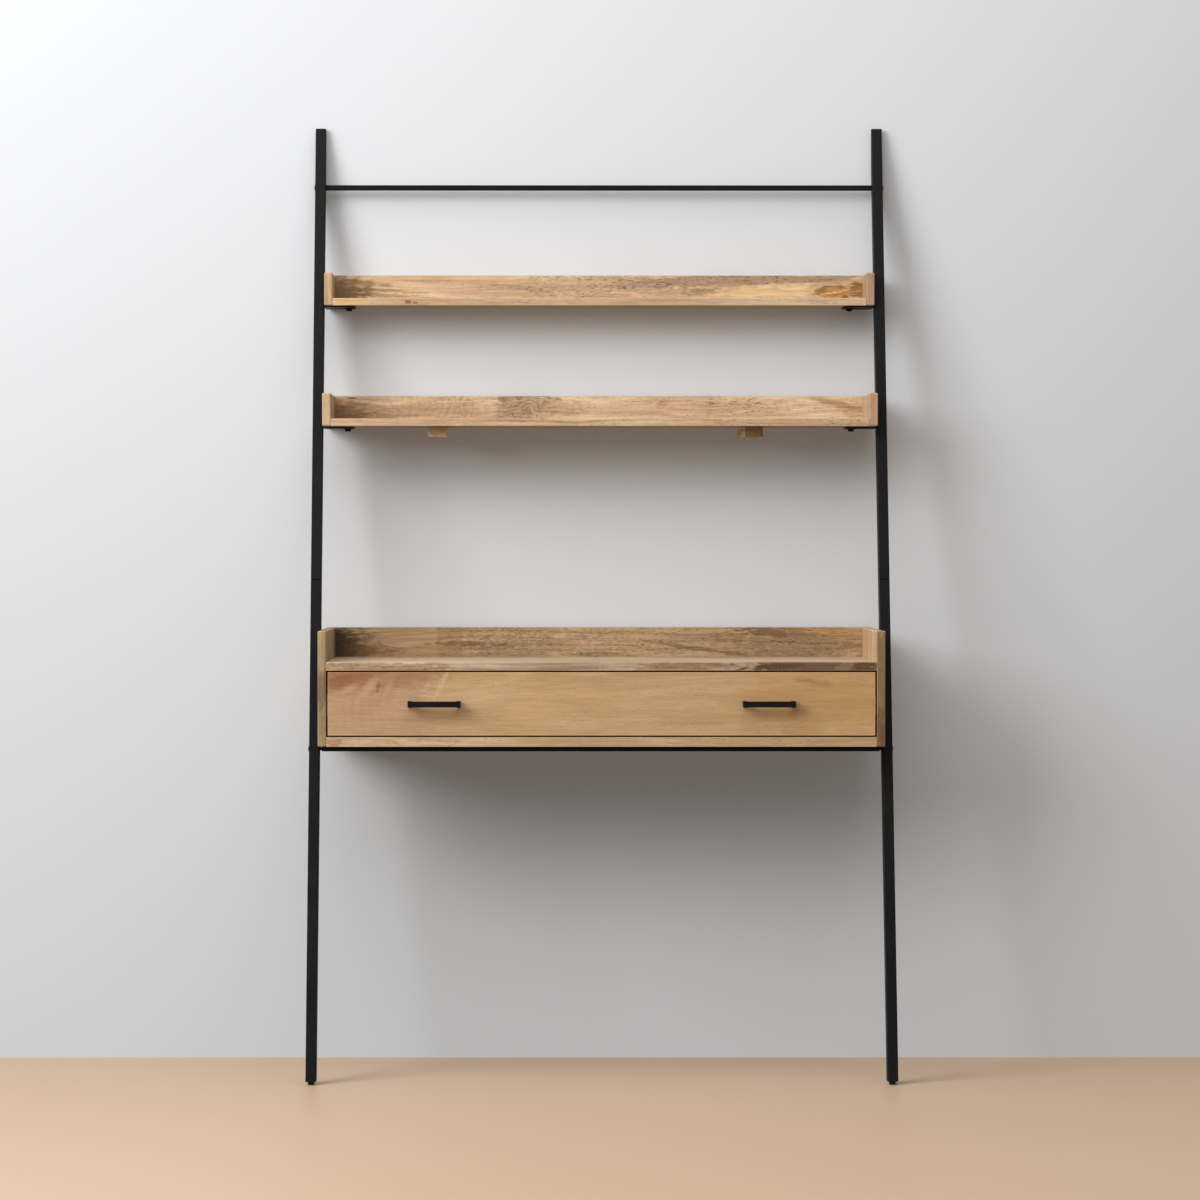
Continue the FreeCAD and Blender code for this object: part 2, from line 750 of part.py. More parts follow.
def handle_screw_hole(place):
    """Plain hole for the screw through the drawer front."""
    start = place - Vector(0, drawer_front_thickness, 0)
    return rod(start, Vector(0, 1, 0), handle_screw_radius + bolt_clearance, 3 * drawer_front_thickness)


def build_drawer(side_cutters):
    holes = drawer_dowels(dowel_bottom_room, dowel_clearance)
    screw_places = [place for middle in handle_places() for place in handle_leg_places(middle)]
    front = box(drawer_front_left_x, -drawer_front_left_x, desk_front_y, drawer_box_front_y,
                drawer_front_low, drawer_front_high)
    front = eased(front, board_ease)
    front_cutters = [drawer_floor_groove()] + [handle_screw_hole(place) for place in screw_places]
    side = box(drawer_left_x, drawer_inner_x, drawer_box_front_y, drawer_box_rear_y,
               drawer_side_low, drawer_side_high)
    side_cuts = holes + [drawer_floor_groove()] + side_cutters
    back = box(drawer_inner_x, -drawer_inner_x, drawer_box_rear_y - drawer_back_thickness,
               drawer_box_rear_y, drawer_floor_high, drawer_side_high)
    save("drawer_front", cut_all(front, holes + front_cutters))
    save("drawer_left_side", cut_all(side, side_cuts))
    save("drawer_right_side", other_side(cut_all(side, side_cuts)))
    save("drawer_back", cut_all(back, holes))
    save("drawer_bottom", drawer_floor())
    save_group("drawer_dowels", drawer_dowels(0, 0))
    left_middle, right_middle = handle_places()
    save("left_handle", handle(left_middle))
    save("right_handle", handle(right_middle))
    save_group("handle_screws", [handle_screw(place) for place in screw_places])


# Drawer runners

runner_front_y = drawer_box_front_y + runner_front_setback
runner_rear_y = drawer_box_rear_y - runner_rear_setback
runner_level = (drawer_side_low + drawer_side_high) / 2
inner_runner_height = runner_height - 2 * runner_wall - 2 * runner_play
inner_runner_x = desk_joint_x + runner_wall + runner_play   # open edge of the drawer's channel


def channel(web_x, open_x, height):
    """Channel section runner: a web at one side and two flanges toward the other."""
    inward = math.copysign(1, open_x - web_x)
    hollow_x = web_x + inward * runner_wall
    past_x = open_x + inward * runner_wall
    low = runner_level - height / 2
    high = runner_level + height / 2
    outside = box(min(web_x, open_x), max(web_x, open_x), runner_front_y, runner_rear_y, low, high)
    hollow = box(min(hollow_x, past_x), max(hollow_x, past_x), runner_front_y - runner_height,
                 runner_rear_y + runner_height, low + runner_wall, high - runner_wall)
    return outside.cut(hollow)


def runner_screw_lines():
    """Front-to-back places of the screws in a runner."""
    return [runner_front_y + runner_screw_margin, runner_rear_y - runner_screw_margin]


def runner_screw(x, y, into):
    """Low-headed screw through a runner's web, the head at x and the point toward the wood."""
    place = Vector(x, y, runner_level)
    head = rod(place, Vector(-into, 0, 0), runner_screw_head_radius, runner_screw_head_height)
    shank = rod(place, Vector(into, 0, 0), runner_screw_radius, runner_wall + runner_screw_grip)
    return head.fuse(shank).removeSplitter()


def runner_screw_hole(x, y, into):
    """Hole for the same screw in the web and the wood."""
    place = Vector(x, y, runner_level)
    return rod(place, Vector(into, 0, 0), runner_screw_radius + thread_clearance,
               runner_wall + runner_screw_grip + tapped_extra_depth)


desk_screw_x = desk_joint_x + runner_wall                   # inner face of the desk runner's web
drawer_screw_x = drawer_left_x - runner_wall                # outer face of the drawer runner's web


def desk_runner_holes():
    """Holes for the left desk runner's screws."""
    return [runner_screw_hole(desk_screw_x, y, -1) for y in runner_screw_lines()]


def drawer_runner_holes():
    """Holes for the left drawer runner's screws."""
    return [runner_screw_hole(drawer_screw_x, y, 1) for y in runner_screw_lines()]


def build_runners():
    desk_runner = channel(desk_joint_x, desk_joint_x + runner_reach, runner_height)
    drawer_runner = channel(drawer_left_x, inner_runner_x, inner_runner_height)
    save_pair("desk_runner", cut_all(desk_runner, desk_runner_holes()))
    save_pair("drawer_runner", cut_all(drawer_runner, drawer_runner_holes()))
    desk_screws = [runner_screw(desk_screw_x, y, -1) for y in runner_screw_lines()]
    drawer_screws = [runner_screw(drawer_screw_x, y, 1) for y in runner_screw_lines()]
    save_group("desk_runner_screws", both_sides(desk_screws))
    save_group("drawer_runner_screws", both_sides(drawer_screws))


os.makedirs("parts", exist_ok=True)
build_posts()
build_bars()
build_brackets()
shelf_dowels = build_shelves()
desk_dowels = build_desk(desk_runner_holes())
save_group("board_dowels", shelf_dowels + desk_dowels)
build_drawer(drawer_runner_holes())
build_runners()
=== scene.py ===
"""Ladder desk: the finish of every piece, and a plain studio stage to show it on."""

import functools
import math
from collections import namedtuple

import bmesh
import bpy
from bpy.props import FloatProperty, FloatVectorProperty, PointerProperty
from mathutils import Matrix, Vector


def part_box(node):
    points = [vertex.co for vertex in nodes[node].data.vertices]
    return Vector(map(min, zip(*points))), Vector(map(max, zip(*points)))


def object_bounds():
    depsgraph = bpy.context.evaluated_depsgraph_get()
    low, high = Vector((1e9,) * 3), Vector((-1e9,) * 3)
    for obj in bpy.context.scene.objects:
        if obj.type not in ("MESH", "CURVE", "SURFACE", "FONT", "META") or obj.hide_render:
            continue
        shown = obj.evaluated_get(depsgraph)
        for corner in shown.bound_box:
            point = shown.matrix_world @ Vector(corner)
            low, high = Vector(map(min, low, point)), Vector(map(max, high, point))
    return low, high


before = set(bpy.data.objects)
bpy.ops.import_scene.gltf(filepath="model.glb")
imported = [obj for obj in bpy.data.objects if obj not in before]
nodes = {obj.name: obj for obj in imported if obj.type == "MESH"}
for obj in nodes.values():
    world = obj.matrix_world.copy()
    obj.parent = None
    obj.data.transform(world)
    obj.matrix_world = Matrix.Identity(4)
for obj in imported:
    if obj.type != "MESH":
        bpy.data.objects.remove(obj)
cad_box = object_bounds()

bl_info = {
    "name": "Ladder desk finishes",
    "version": (1, 0, 0),
    "blender": (4, 5, 0),
    "location": "View3D > Sidebar > Ladder desk",
    "description": "Gives a leaning ladder desk its wood, steel and plastic finishes, and a studio stage",
    "category": "Object",
}

MM = 0.001
SIDES = ("left", "right")


# Colours and sizes that a user may change

def linear(hex_colour):
    """Turns an sRGB hex colour into linear red, green and blue."""
    channels = [int(hex_colour[i:i + 2], 16) / 255 for i in (1, 3, 5)]
    return tuple(c / 12.92 if c <= 0.04045 else ((c + 0.055) / 1.055) ** 2.4 for c in channels)


def colour(name, description, default):
    """A colour setting, given as an sRGB hex value."""
    return FloatVectorProperty(name=name, description=description, default=linear(default),
                               subtype="COLOR", size=3, min=0.0, max=1.0)


def length(name, description, millimetres):
    """A length setting, given in millimetres."""
    return FloatProperty(name=name, description=description, default=millimetres * MM,
                         subtype="DISTANCE", unit="LENGTH", precision=5)


def angle(name, description, degrees):
    """An angle setting, given in degrees."""
    return FloatProperty(name=name, description=description, default=math.radians(degrees),
                         subtype="ANGLE", unit="ROTATION")


def position(name, description, millimetres):
    """A place setting, given in millimetres."""
    return FloatVectorProperty(name=name, description=description, size=3, subtype="TRANSLATION",
                               unit="LENGTH", default=[value * MM for value in millimetres])


def power(name, description, watts):
    """The power of a lamp, in watts."""
    return FloatProperty(name=name, description=description, default=watts, unit="POWER")


def share(name, description, default):
    """A setting from 0 to 1."""
    return FloatProperty(name=name, description=description, default=default,
                         subtype="FACTOR", min=0.0, max=1.0)


class WoodSettings(bpy.types.PropertyGroup):
    """How large the features of the wood are."""

    bow_length: length("Bow length", "Length over which the grain wanders from a straight line", 300)
    bow_width: length("Bow width", "Width over which neighbouring grain wanders together", 80)
    bow_depth: length("Bow depth", "How far the grain wanders", 26)
    ring_width: length("Ring width", "Spacing of the growth rings", 7)
    fibre_length: length("Fibre length", "Length of a bundle of fibres", 60)
    fibre_width: length("Fibre width",
                        "Width of a bundle of fibres, coarser than real so that it shows", 3)
    pore_length: length("Pore length", "Length of an open pore", 9)
    pore_width: length("Pore width", "Width of an open pore, coarser than real so that it shows", 1.6)
    zone_length: length("Zone length", "Length of a paler or darker zone", 330)
    zone_width: length("Zone width", "Width of a paler or darker zone", 46)
    streak_length: length("Streak length", "Length of a mineral streak", 360)
    streak_width: length("Streak width", "Width of a mineral streak", 7)
    swirl_size: length("Swirl size", "Size of one eye in swirling figure", 26)
    # The pale line along an edge is partly worn by sanding and partly a painted highlight on the eased
    # edge
    wear_and_highlight_width: length("Wear width", "Width of the pale worn line along an edge", 1.8)
    wear_and_highlight: share("Wear", "How pale the worn line along an edge is", 0.35)
    pore_colour: colour("Pore colour", "Colour of the open pores", "#6a5037")
    # Painted shade: the undersides are painted in this greyer colour for the dull light that reaches them
    underside_shade_colour: colour("Dry colour", "Colour of the undersides, which get little oil", "#a39584")


class SteelSettings(bpy.types.PropertyGroup):
    """The powder coat on the steel, the plating and the plastic."""

    coat_colour: colour("Coat colour", "Colour of the powder coat", "#101011")
    dust_colour: colour("Dust colour", "Colour of the thin bloom on the powder coat", "#19191a")
    grit: length("Grit", "Size of the powder coat's grit, coarser than real so that it shows", 2.2)
    plastic_colour: colour("Plastic colour", "Colour of the moulded caps and feet", "#0e0e0f")
    zinc_colour: colour("Zinc colour", "Colour of the zinc plating", "#b4b7ba")
    spangle: length("Spangle", "Size of a crystal in the zinc plating", 4)


class StageSettings(bpy.types.PropertyGroup):
    """The floor, the wall, the light and the camera."""

    floor_colour: colour("Floor colour", "Colour of the plain floor", "#caaf94")
    wall_colour: colour("Wall colour", "Colour of the plain wall", "#d8dbdf")
    background: colour("Background", "Colour seen beyond the floor and the wall", "#e6e6e5")
    floor_reach: length("Floor reach", "How far the floor reaches to each side", 6000)
    wall_reach: length("Wall reach", "How far the wall reaches to each side", 2600)
    wall_height: length("Wall height", "Height of the wall", 4500)
    key_place: position("Key place", "Where the window light stands", (-4140, -3465, 3190))
    key_aim: position("Key aim", "Where the window light points", (0, 100, 950))
    key_power: power("Key power", "Power of the window light", 216)
    key_size: length("Key size", "Width and height of the window light", 2875)
    ceiling_place: position("Ceiling place", "Where the ceiling light hangs", (-1000, -2000, 3800))
    ceiling_aim: position("Ceiling aim", "Where the ceiling light points", (-500, -700, 0))
    ceiling_power: power("Ceiling power", "Power of the ceiling light", 130)
    ceiling_size: length("Ceiling size", "Width and height of the ceiling light", 4600)
    fill: share("Fill", "Strength of the even light from all around", 0.28)
    fill_colour: colour("Fill colour", "Colour of the even light from all around", "#fff2e4")
    camera_offset: length("Camera offset", "How far the camera stands to the right of the middle", -125.2)
    camera_distance: length("Camera distance", "How far the camera stands from the wall", 8001)
    camera_height: length("Camera height", "Height of the camera", 1008)
    camera_turn: angle("Camera turn", "How far the camera turns to the right", 0.262)
    camera_dip: angle("Camera dip", "How far the camera looks down", 0.985)
    lens: FloatProperty(name="Lens", description="Focal length", default=123.1,
                        subtype="DISTANCE_CAMERA")
    shift_x: FloatProperty(name="Shift to the right", description="Sideways shift of the lens",
                           default=0.039)
    shift_y: FloatProperty(name="Shift up", description="Upward shift of the lens", default=0.01)


class LadderDeskSettings(bpy.types.PropertyGroup):
    """All the settings of the ladder desk."""

    wood: PointerProperty(type=WoodSettings)
    steel: PointerProperty(type=SteelSettings)
    stage: PointerProperty(type=StageSettings)


# Materials

def add_node(tree, kind, inputs=None, out=None, stops=(), **settings):
    """Adds a node, feeds its inputs with values or other nodes' outputs, and returns an output."""
    node = tree.nodes.new(kind)
    for setting, value in settings.items():
        setattr(node, setting, value)
    for index, (place, tone) in enumerate(stops):
        elements = node.color_ramp.elements
        element = elements[index] if index < 2 else elements.new(place)
        element.position = place
        element.color = (*tone, 1.0)
    named = {socket.name: socket for socket in reversed(node.inputs) if socket.enabled}
    for key, value in (inputs or {}).items():
        socket = named[key] if isinstance(key, str) else node.inputs[key]
        if isinstance(value, bpy.types.NodeSocket):
            tree.links.new(value, socket)
        elif socket.type == "RGBA":
            socket.default_value = (*value, 1.0)
        else:
            socket.default_value = value
    if out:
        return node.outputs[out]
    return next((socket for socket in node.outputs if socket.enabled), None)


def new_material(name):
    """Starts an empty material and gives it with the function that adds its nodes."""
    material = bpy.data.materials.new(name)
    material.use_nodes = True
    material.node_tree.nodes.clear()
    return material, functools.partial(add_node, material.node_tree)


def paint(piece, material):
    """Gives a piece its one material."""
    piece.data.materials.clear()
    piece.data.materials.append(material)


# Wood
# Places and reaches are millimetres from the middle of a board, with x along its grain.
# A board has the axis of its grain, a seed for its noise, and how far off the tree's heart lies across
# the grain. Then come its deep, middle and pale tones, the tone of its streaks, and how strong its
# streaks, rings and pores are.
# A spot is a patch of another tone. It may hold more dark pores, its speckle, or fewer where that is
# negative, and may be tilted on the board's face, in degrees. Its border is ragged at a softness of 1,
# crisp near 0, as where two staves are glued end to end, and a slow fade above 1.
# A figure is a patch of nested contour lines: the heart that they run round, their spacing, how wild
# they run and how dark they are.

Spot = namedtuple("Spot", "at reach tone strength speckle tilt soft", defaults=(0.0, 0.0, 1.0))
Figure = namedtuple("Figure", "at reach heart spacing wild strength")
Board = namedtuple("Board", "grain seed heart deep mid pale streak streaks rings pores "
                            "spots figures contrast",
                   defaults=("#8f7456", 0.3, 0.2, 0.4, (), (), 1.0))

GRAIN_TURN = {"X": (0, 0, 0), "Y": (0, 0, math.radians(90)), "Z": (0, math.radians(-90), 0)}
GRAIN_AXIS = {"X": (1, 0, 0), "Y": (0, 1, 0), "Z": (0, 0, 1)}

# Shares of a spot's reach: how far outside and inside its border it fades at a softness of 1, and how far
# the flames of the grain pull that border in and out
FADE_OUTSIDE = 0.15
FADE_INSIDE = 0.35
RAGGEDNESS = 1.4

# The rings run long with the grain, and the lines of a figure fray and fade out at its border
RING_STRETCH = 0.05
FIGURE_FRAY = 0.06
FIGURE_SOFTNESS = 1.4

# Millimetres by which the pale line along an edge wanders, and within which it is full.
# The line is partly worn by sanding and partly a painted highlight on the eased edge.
WEAR_AND_HIGHLIGHT_WANDER = 0.9
WEAR_AND_HIGHLIGHT_CORE = 0.2

# A flame of grain is this much shorter and wider than a bundle of fibres, and zones hold rows of pores
FLAMES_PER_FIBRE = 3
FIBRES_PER_FLAME = 2
ROWS_PER_ZONE = 3

# How much darker and paler than the board a bundle of fibres gets, and the depth of the grain
FIBRE_SHADE = 0.24
FIBRE_SHINE = 0.2
GRAIN_DEPTH = 0.4 * MM

DRAWER_TONES = ("#c3a57e", "#d0b48e", "#dcc29e", "#ab8e6a")
BEECH_TONES = ("#c9a176", "#d6b088", "#dfbc97", "#b58c62")


def grain_noise(add, point, along, across, seed, detail=2.0, out="Fac"):
    """Noise whose features have a length along the grain and a width across it, in metres."""
    size = (MM / along, MM / across, MM / across)
    stretched = add("ShaderNodeVectorMath", {0: point, 1: size}, operation="MULTIPLY")
    return add("ShaderNodeTexNoise", {"Vector": stretched, "W": seed, "Scale": 1.0, "Detail": detail},
               out=out, noise_dimensions="4D")


def spot_mask(add, point, ragged, spot):
    """A mask that is full inside a round or long spot on the board and fades out at its border."""
    offset = add("ShaderNodeVectorMath", {0: point, 1: spot.at}, operation="SUBTRACT")
    turned = add("ShaderNodeVectorRotate", {"Vector": offset, "Angle": math.radians(spot.tilt)},
                 rotation_type="Y_AXIS")
    scaled = add("ShaderNodeVectorMath", {0: turned, 1: spot.reach}, operation="DIVIDE")
    distance = add("ShaderNodeVectorMath", {0: scaled}, operation="LENGTH")
    fray = min(spot.soft, 1 / spot.soft)
    border = add("ShaderNodeMath", {0: ragged, 1: fray, 2: distance}, operation="MULTIPLY_ADD")
    return add("ShaderNodeMapRange", {"Value": border, "From Min": 1 + FADE_OUTSIDE * spot.soft,
                                      "From Max": 1 - FADE_INSIDE * spot.soft,
                                      "To Min": 0.0, "To Max": spot.strength},
               interpolation_type="SMOOTHSTEP")


def contour_lines(add, turns, strength):
    """Soft dark lines, one at each whole turn."""
    around = add("ShaderNodeMath", {0: turns, 1: 2 * math.pi}, operation="MULTIPLY")
    wave = add("ShaderNodeMath", {0: around}, operation="SINE")
    return add("ShaderNodeMapRange", {"Value": wave, "From Min": 0.1, "From Max": 1.0,
                                      "To Min": 0.0, "To Max": strength},
               interpolation_type="SMOOTHSTEP")


def growth_rings(add, point, board, wood):
    """Fine dark lines where the board's faces cut the rings around the tree's heart."""
    squeeze = (RING_STRETCH, 1.0, 1.0)
    from_heart = add("ShaderNodeVectorMath", {0: point, 1: squeeze, 2: (0.0, *board.heart)},
                     operation="MULTIPLY_ADD")
    radius = add("ShaderNodeVectorMath", {0: from_heart}, operation="LENGTH")
    turns = add("ShaderNodeMath", {0: radius, 1: MM / wood.ring_width}, operation="MULTIPLY")
    return contour_lines(add, turns, board.rings)


def figure_lines(add, point, ragged, seed, figure, wood):
    """Nested contour lines in a patch of wild grain, frayed along the fibres."""
    offset = add("ShaderNodeVectorMath", {0: point, 1: figure.heart}, operation="SUBTRACT")
    scaled = add("ShaderNodeVectorMath", {0: offset, 1: figure.spacing}, operation="DIVIDE")
    radius = add("ShaderNodeVectorMath", {0: scaled}, operation="LENGTH")
    eyes = grain_noise(add, point, wood.swirl_size, wood.swirl_size, seed + 7, 3.0)
    turns = add("ShaderNodeMath", {0: eyes, 1: figure.wild, 2: radius}, operation="MULTIPLY_ADD")
    frayed = add("ShaderNodeMath", {0: ragged, 1: FIGURE_FRAY * figure.wild, 2: turns},
                 operation="MULTIPLY_ADD")
    patch = Spot(figure.at, figure.reach, "", figure.strength, soft=FIGURE_SOFTNESS)
    mask = spot_mask(add, point, ragged, patch)
    return add("ShaderNodeMath", {0: contour_lines(add, frayed, 1.0), 1: mask}, operation="MULTIPLY")


def edge_wear_and_highlight(add, point, half, ragged, wood):
    """A mask along the board's edges: a paler line, partly worn by sanding, partly a painted highlight.
    """
    away = add("ShaderNodeVectorMath", {0: point}, operation="ABSOLUTE")
    inside = add("ShaderNodeVectorMath", {0: half, 1: away}, operation="SUBTRACT")
    along, deep, up = add("ShaderNodeSeparateXYZ", {0: inside}).node.outputs
    less = add("ShaderNodeMath", {0: along, 1: deep}, operation="MINIMUM")
    more = add("ShaderNodeMath", {0: along, 1: deep}, operation="MAXIMUM")
    other = add("ShaderNodeMath", {0: more, 1: up}, operation="MINIMUM")
    second = add("ShaderNodeMath", {0: less, 1: other}, operation="MAXIMUM")
    uneven = add("ShaderNodeMath", {0: ragged, 1: WEAR_AND_HIGHLIGHT_WANDER, 2: second}, operation="MULTIPLY_ADD")
    return add("ShaderNodeMapRange", {"Value": uneven, "From Min": wood.wear_and_highlight_width / MM,
                                      "From Max": WEAR_AND_HIGHLIGHT_CORE, "To Min": 0.0, "To Max": wood.wear_and_highlight})


def facing(add, direction):
    """How squarely a face looks in a direction, from -1 to 1."""
    normal = add("ShaderNodeTexCoord", out="Normal")
    return add("ShaderNodeVectorMath", {0: normal, 1: direction}, operation="DOT_PRODUCT")


def end_grain(add, grain):
    """A mask on the faces that cut across the fibres, which drink more oil and go darker."""
    across = add("ShaderNodeMath", {0: facing(add, GRAIN_AXIS[grain])}, operation="ABSOLUTE")
    return add("ShaderNodeMapRange", {"Value": across, "From Min": 0.75, "From Max": 0.95,
                                      "To Min": 0.0, "To Max": 0.35})


def painted_underside_shade(add):
    """A mask on the faces that look down, painted greyer as painted shade for the dull light they get."""
    return add("ShaderNodeMapRange", {"Value": facing(add, (0, 0, -1)), "From Min": 0.7, "From Max": 0.95,
                                      "To Min": 0.0, "To Max": 0.7})


def board_space(add, low, high, board, wood):
    """Millimetres from the middle of a board with x along its grain, straight and then bowed."""
    place = add("ShaderNodeTexCoord", out="Object")
    point = add("ShaderNodeMapping", {"Vector": place, "Location": (low + high) / 2,
                                      "Rotation": GRAIN_TURN[board.grain], "Scale": (MM, MM, MM)},
                vector_type="TEXTURE")
    bow = grain_noise(add, point, wood.bow_length, wood.bow_width, board.seed, out="Color")
    centred = add("ShaderNodeVectorMath", {0: bow, 1: (0.5, 0.5, 0.5)}, operation="SUBTRACT")
    reach = wood.bow_depth / MM
    bent = add("ShaderNodeVectorMath", {0: centred, 1: (0.0, reach, reach), 2: point},
               operation="MULTIPLY_ADD")
    return point, bent


def wood_tone(add, point, bent, ragged, board, wood):
    """The board's colour before its pores, and how much extra speckle its spots hold."""
    zones = grain_noise(add, bent, wood.zone_length, wood.zone_width, board.seed + 2, 3.0)
    streaks = grain_noise(add, bent, wood.streak_length, wood.streak_width, board.seed + 3, 4.0)
    tone = add("ShaderNodeValToRGB", {"Fac": zones}, out="Color",
               stops=[(0.34, linear(board.deep)), (0.5, linear(board.mid)), (0.66, linear(board.pale))])
    speckle = 0.0
    for spot in board.spots:
        mask = spot_mask(add, point, ragged, spot)
        tone = add("ShaderNodeMix", {"Factor": mask, "A": tone, "B": linear(spot.tone)}, data_type="RGBA")
        speckle = add("ShaderNodeMath", {0: mask, 1: spot.speckle, 2: speckle}, operation="MULTIPLY_ADD")
    streak_mask = add("ShaderNodeMapRange", {"Value": streaks, "From Min": 0.5, "From Max": 0.72,
                                             "To Min": 0.0, "To Max": board.streaks})
    lines = [streak_mask, growth_rings(add, bent, board, wood)]
    lines += [figure_lines(add, point, ragged, board.seed, figure, wood) for figure in board.figures]
    for line in lines:
        tone = add("ShaderNodeMix", {"Factor": line, "A": tone, "B": linear(board.streak)},
                   data_type="RGBA")
    return tone, speckle


def open_pores(add, bent, speckle, board, wood):
    """A mask of short dark pores, gathered in rows and in the speckled spots."""
    pores = grain_noise(add, bent, wood.pore_length, wood.pore_width, board.seed + 4, 1.0)
    rows = grain_noise(add, bent, wood.zone_length / ROWS_PER_ZONE, wood.zone_width / ROWS_PER_ZONE,
                       board.seed + 5)
    mask = add("ShaderNodeMapRange", {"Value": pores, "From Min": 0.53, "From Max": 0.66})
    crowd = add("ShaderNodeMapRange", {"Value": rows, "From Min": 0.42, "From Max": 0.62,
                                       "To Min": 0.3 * board.pores, "To Max": board.pores})
    amount = add("ShaderNodeMath", {0: crowd, 1: speckle}, operation="ADD", use_clamp=True)
    return add("ShaderNodeMath", {0: mask, 1: amount}, operation="MULTIPLY")


def oiled_wood(name, node, board):
    """Planed, sanded and oiled hardwood.

    The oil leaves it satin, not glossy. The eye sees slow pale and dark zones, long streaks, short dark
    pores in rows, ring lines that bow with the grain, and a paler line along the edges, partly worn by
    sanding and partly a painted highlight. The faces that look down are painted greyer, as painted shade.
    """
    wood = bpy.context.scene.ladder_desk.wood
    material, add = new_material(name)
    low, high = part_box(node)
    half = (high - low) / 2 / MM
    half = {"X": half, "Y": half.yxz, "Z": half.zyx}[board.grain]
    point, bent = board_space(add, low, high, board, wood)
    flames = grain_noise(add, bent, wood.fibre_length / FLAMES_PER_FIBRE,
                         wood.fibre_width * FIBRES_PER_FLAME, board.seed + 6, 4.0)
    ragged = add("ShaderNodeMapRange", {"Value": flames, "To Min": -RAGGEDNESS, "To Max": RAGGEDNESS})
    tone, speckle = wood_tone(add, point, bent, ragged, board, wood)
    pores = open_pores(add, bent, speckle, board, wood)
    tone = add("ShaderNodeMix", {"Factor": pores, "A": tone, "B": tuple(wood.pore_colour)},
               data_type="RGBA")
    fibres = grain_noise(add, bent, wood.fibre_length, wood.fibre_width, board.seed + 1, 3.0)
    shade = add("ShaderNodeMapRange", {"Value": fibres, "From Min": 0.25, "From Max": 0.75,
                                       "To Min": 1 - FIBRE_SHADE * board.contrast,
                                       "To Max": 1 + FIBRE_SHINE * board.contrast})
    tone = add("ShaderNodeVectorMath", {0: tone, "Scale": shade}, operation="SCALE")
    cut = end_grain(add, board.grain)
    tone = add("ShaderNodeMix", {"Factor": cut, "A": tone, "B": linear(board.streak)}, data_type="RGBA")
    # Painted highlight, partly worn by sanding: the paler line along the board's edges
    edges = edge_wear_and_highlight(add, point, half, ragged, wood)
    tone = add("ShaderNodeMix", {"Factor": edges, "A": tone, "B": linear(board.pale)}, data_type="RGBA")
    # Painted shade: the faces that look down are painted greyer
    tone = add("ShaderNodeMix", {"Factor": painted_underside_shade(add), "A": tone, "B": tuple(wood.underside_shade_colour)},
               data_type="RGBA")
    roughness = add("ShaderNodeMapRange", {"Value": fibres, "From Min": 0.3, "From Max": 0.7,
                                           "To Min": 0.46, "To Max": 0.6})
    relief = add("ShaderNodeMath", {0: pores, 1: -1.0, 2: fibres}, operation="MULTIPLY_ADD")
    normal = add("ShaderNodeBump", {"Height": relief, "Strength": 0.35, "Distance": GRAIN_DEPTH})
    surface = add("ShaderNodeBsdfPrincipled", {"Base Color": tone, "Roughness": roughness, "IOR": 1.47,
                                               "Specular IOR Level": 0.3, "Normal": normal})
    add("ShaderNodeOutputMaterial", {"Surface": surface})
    return material


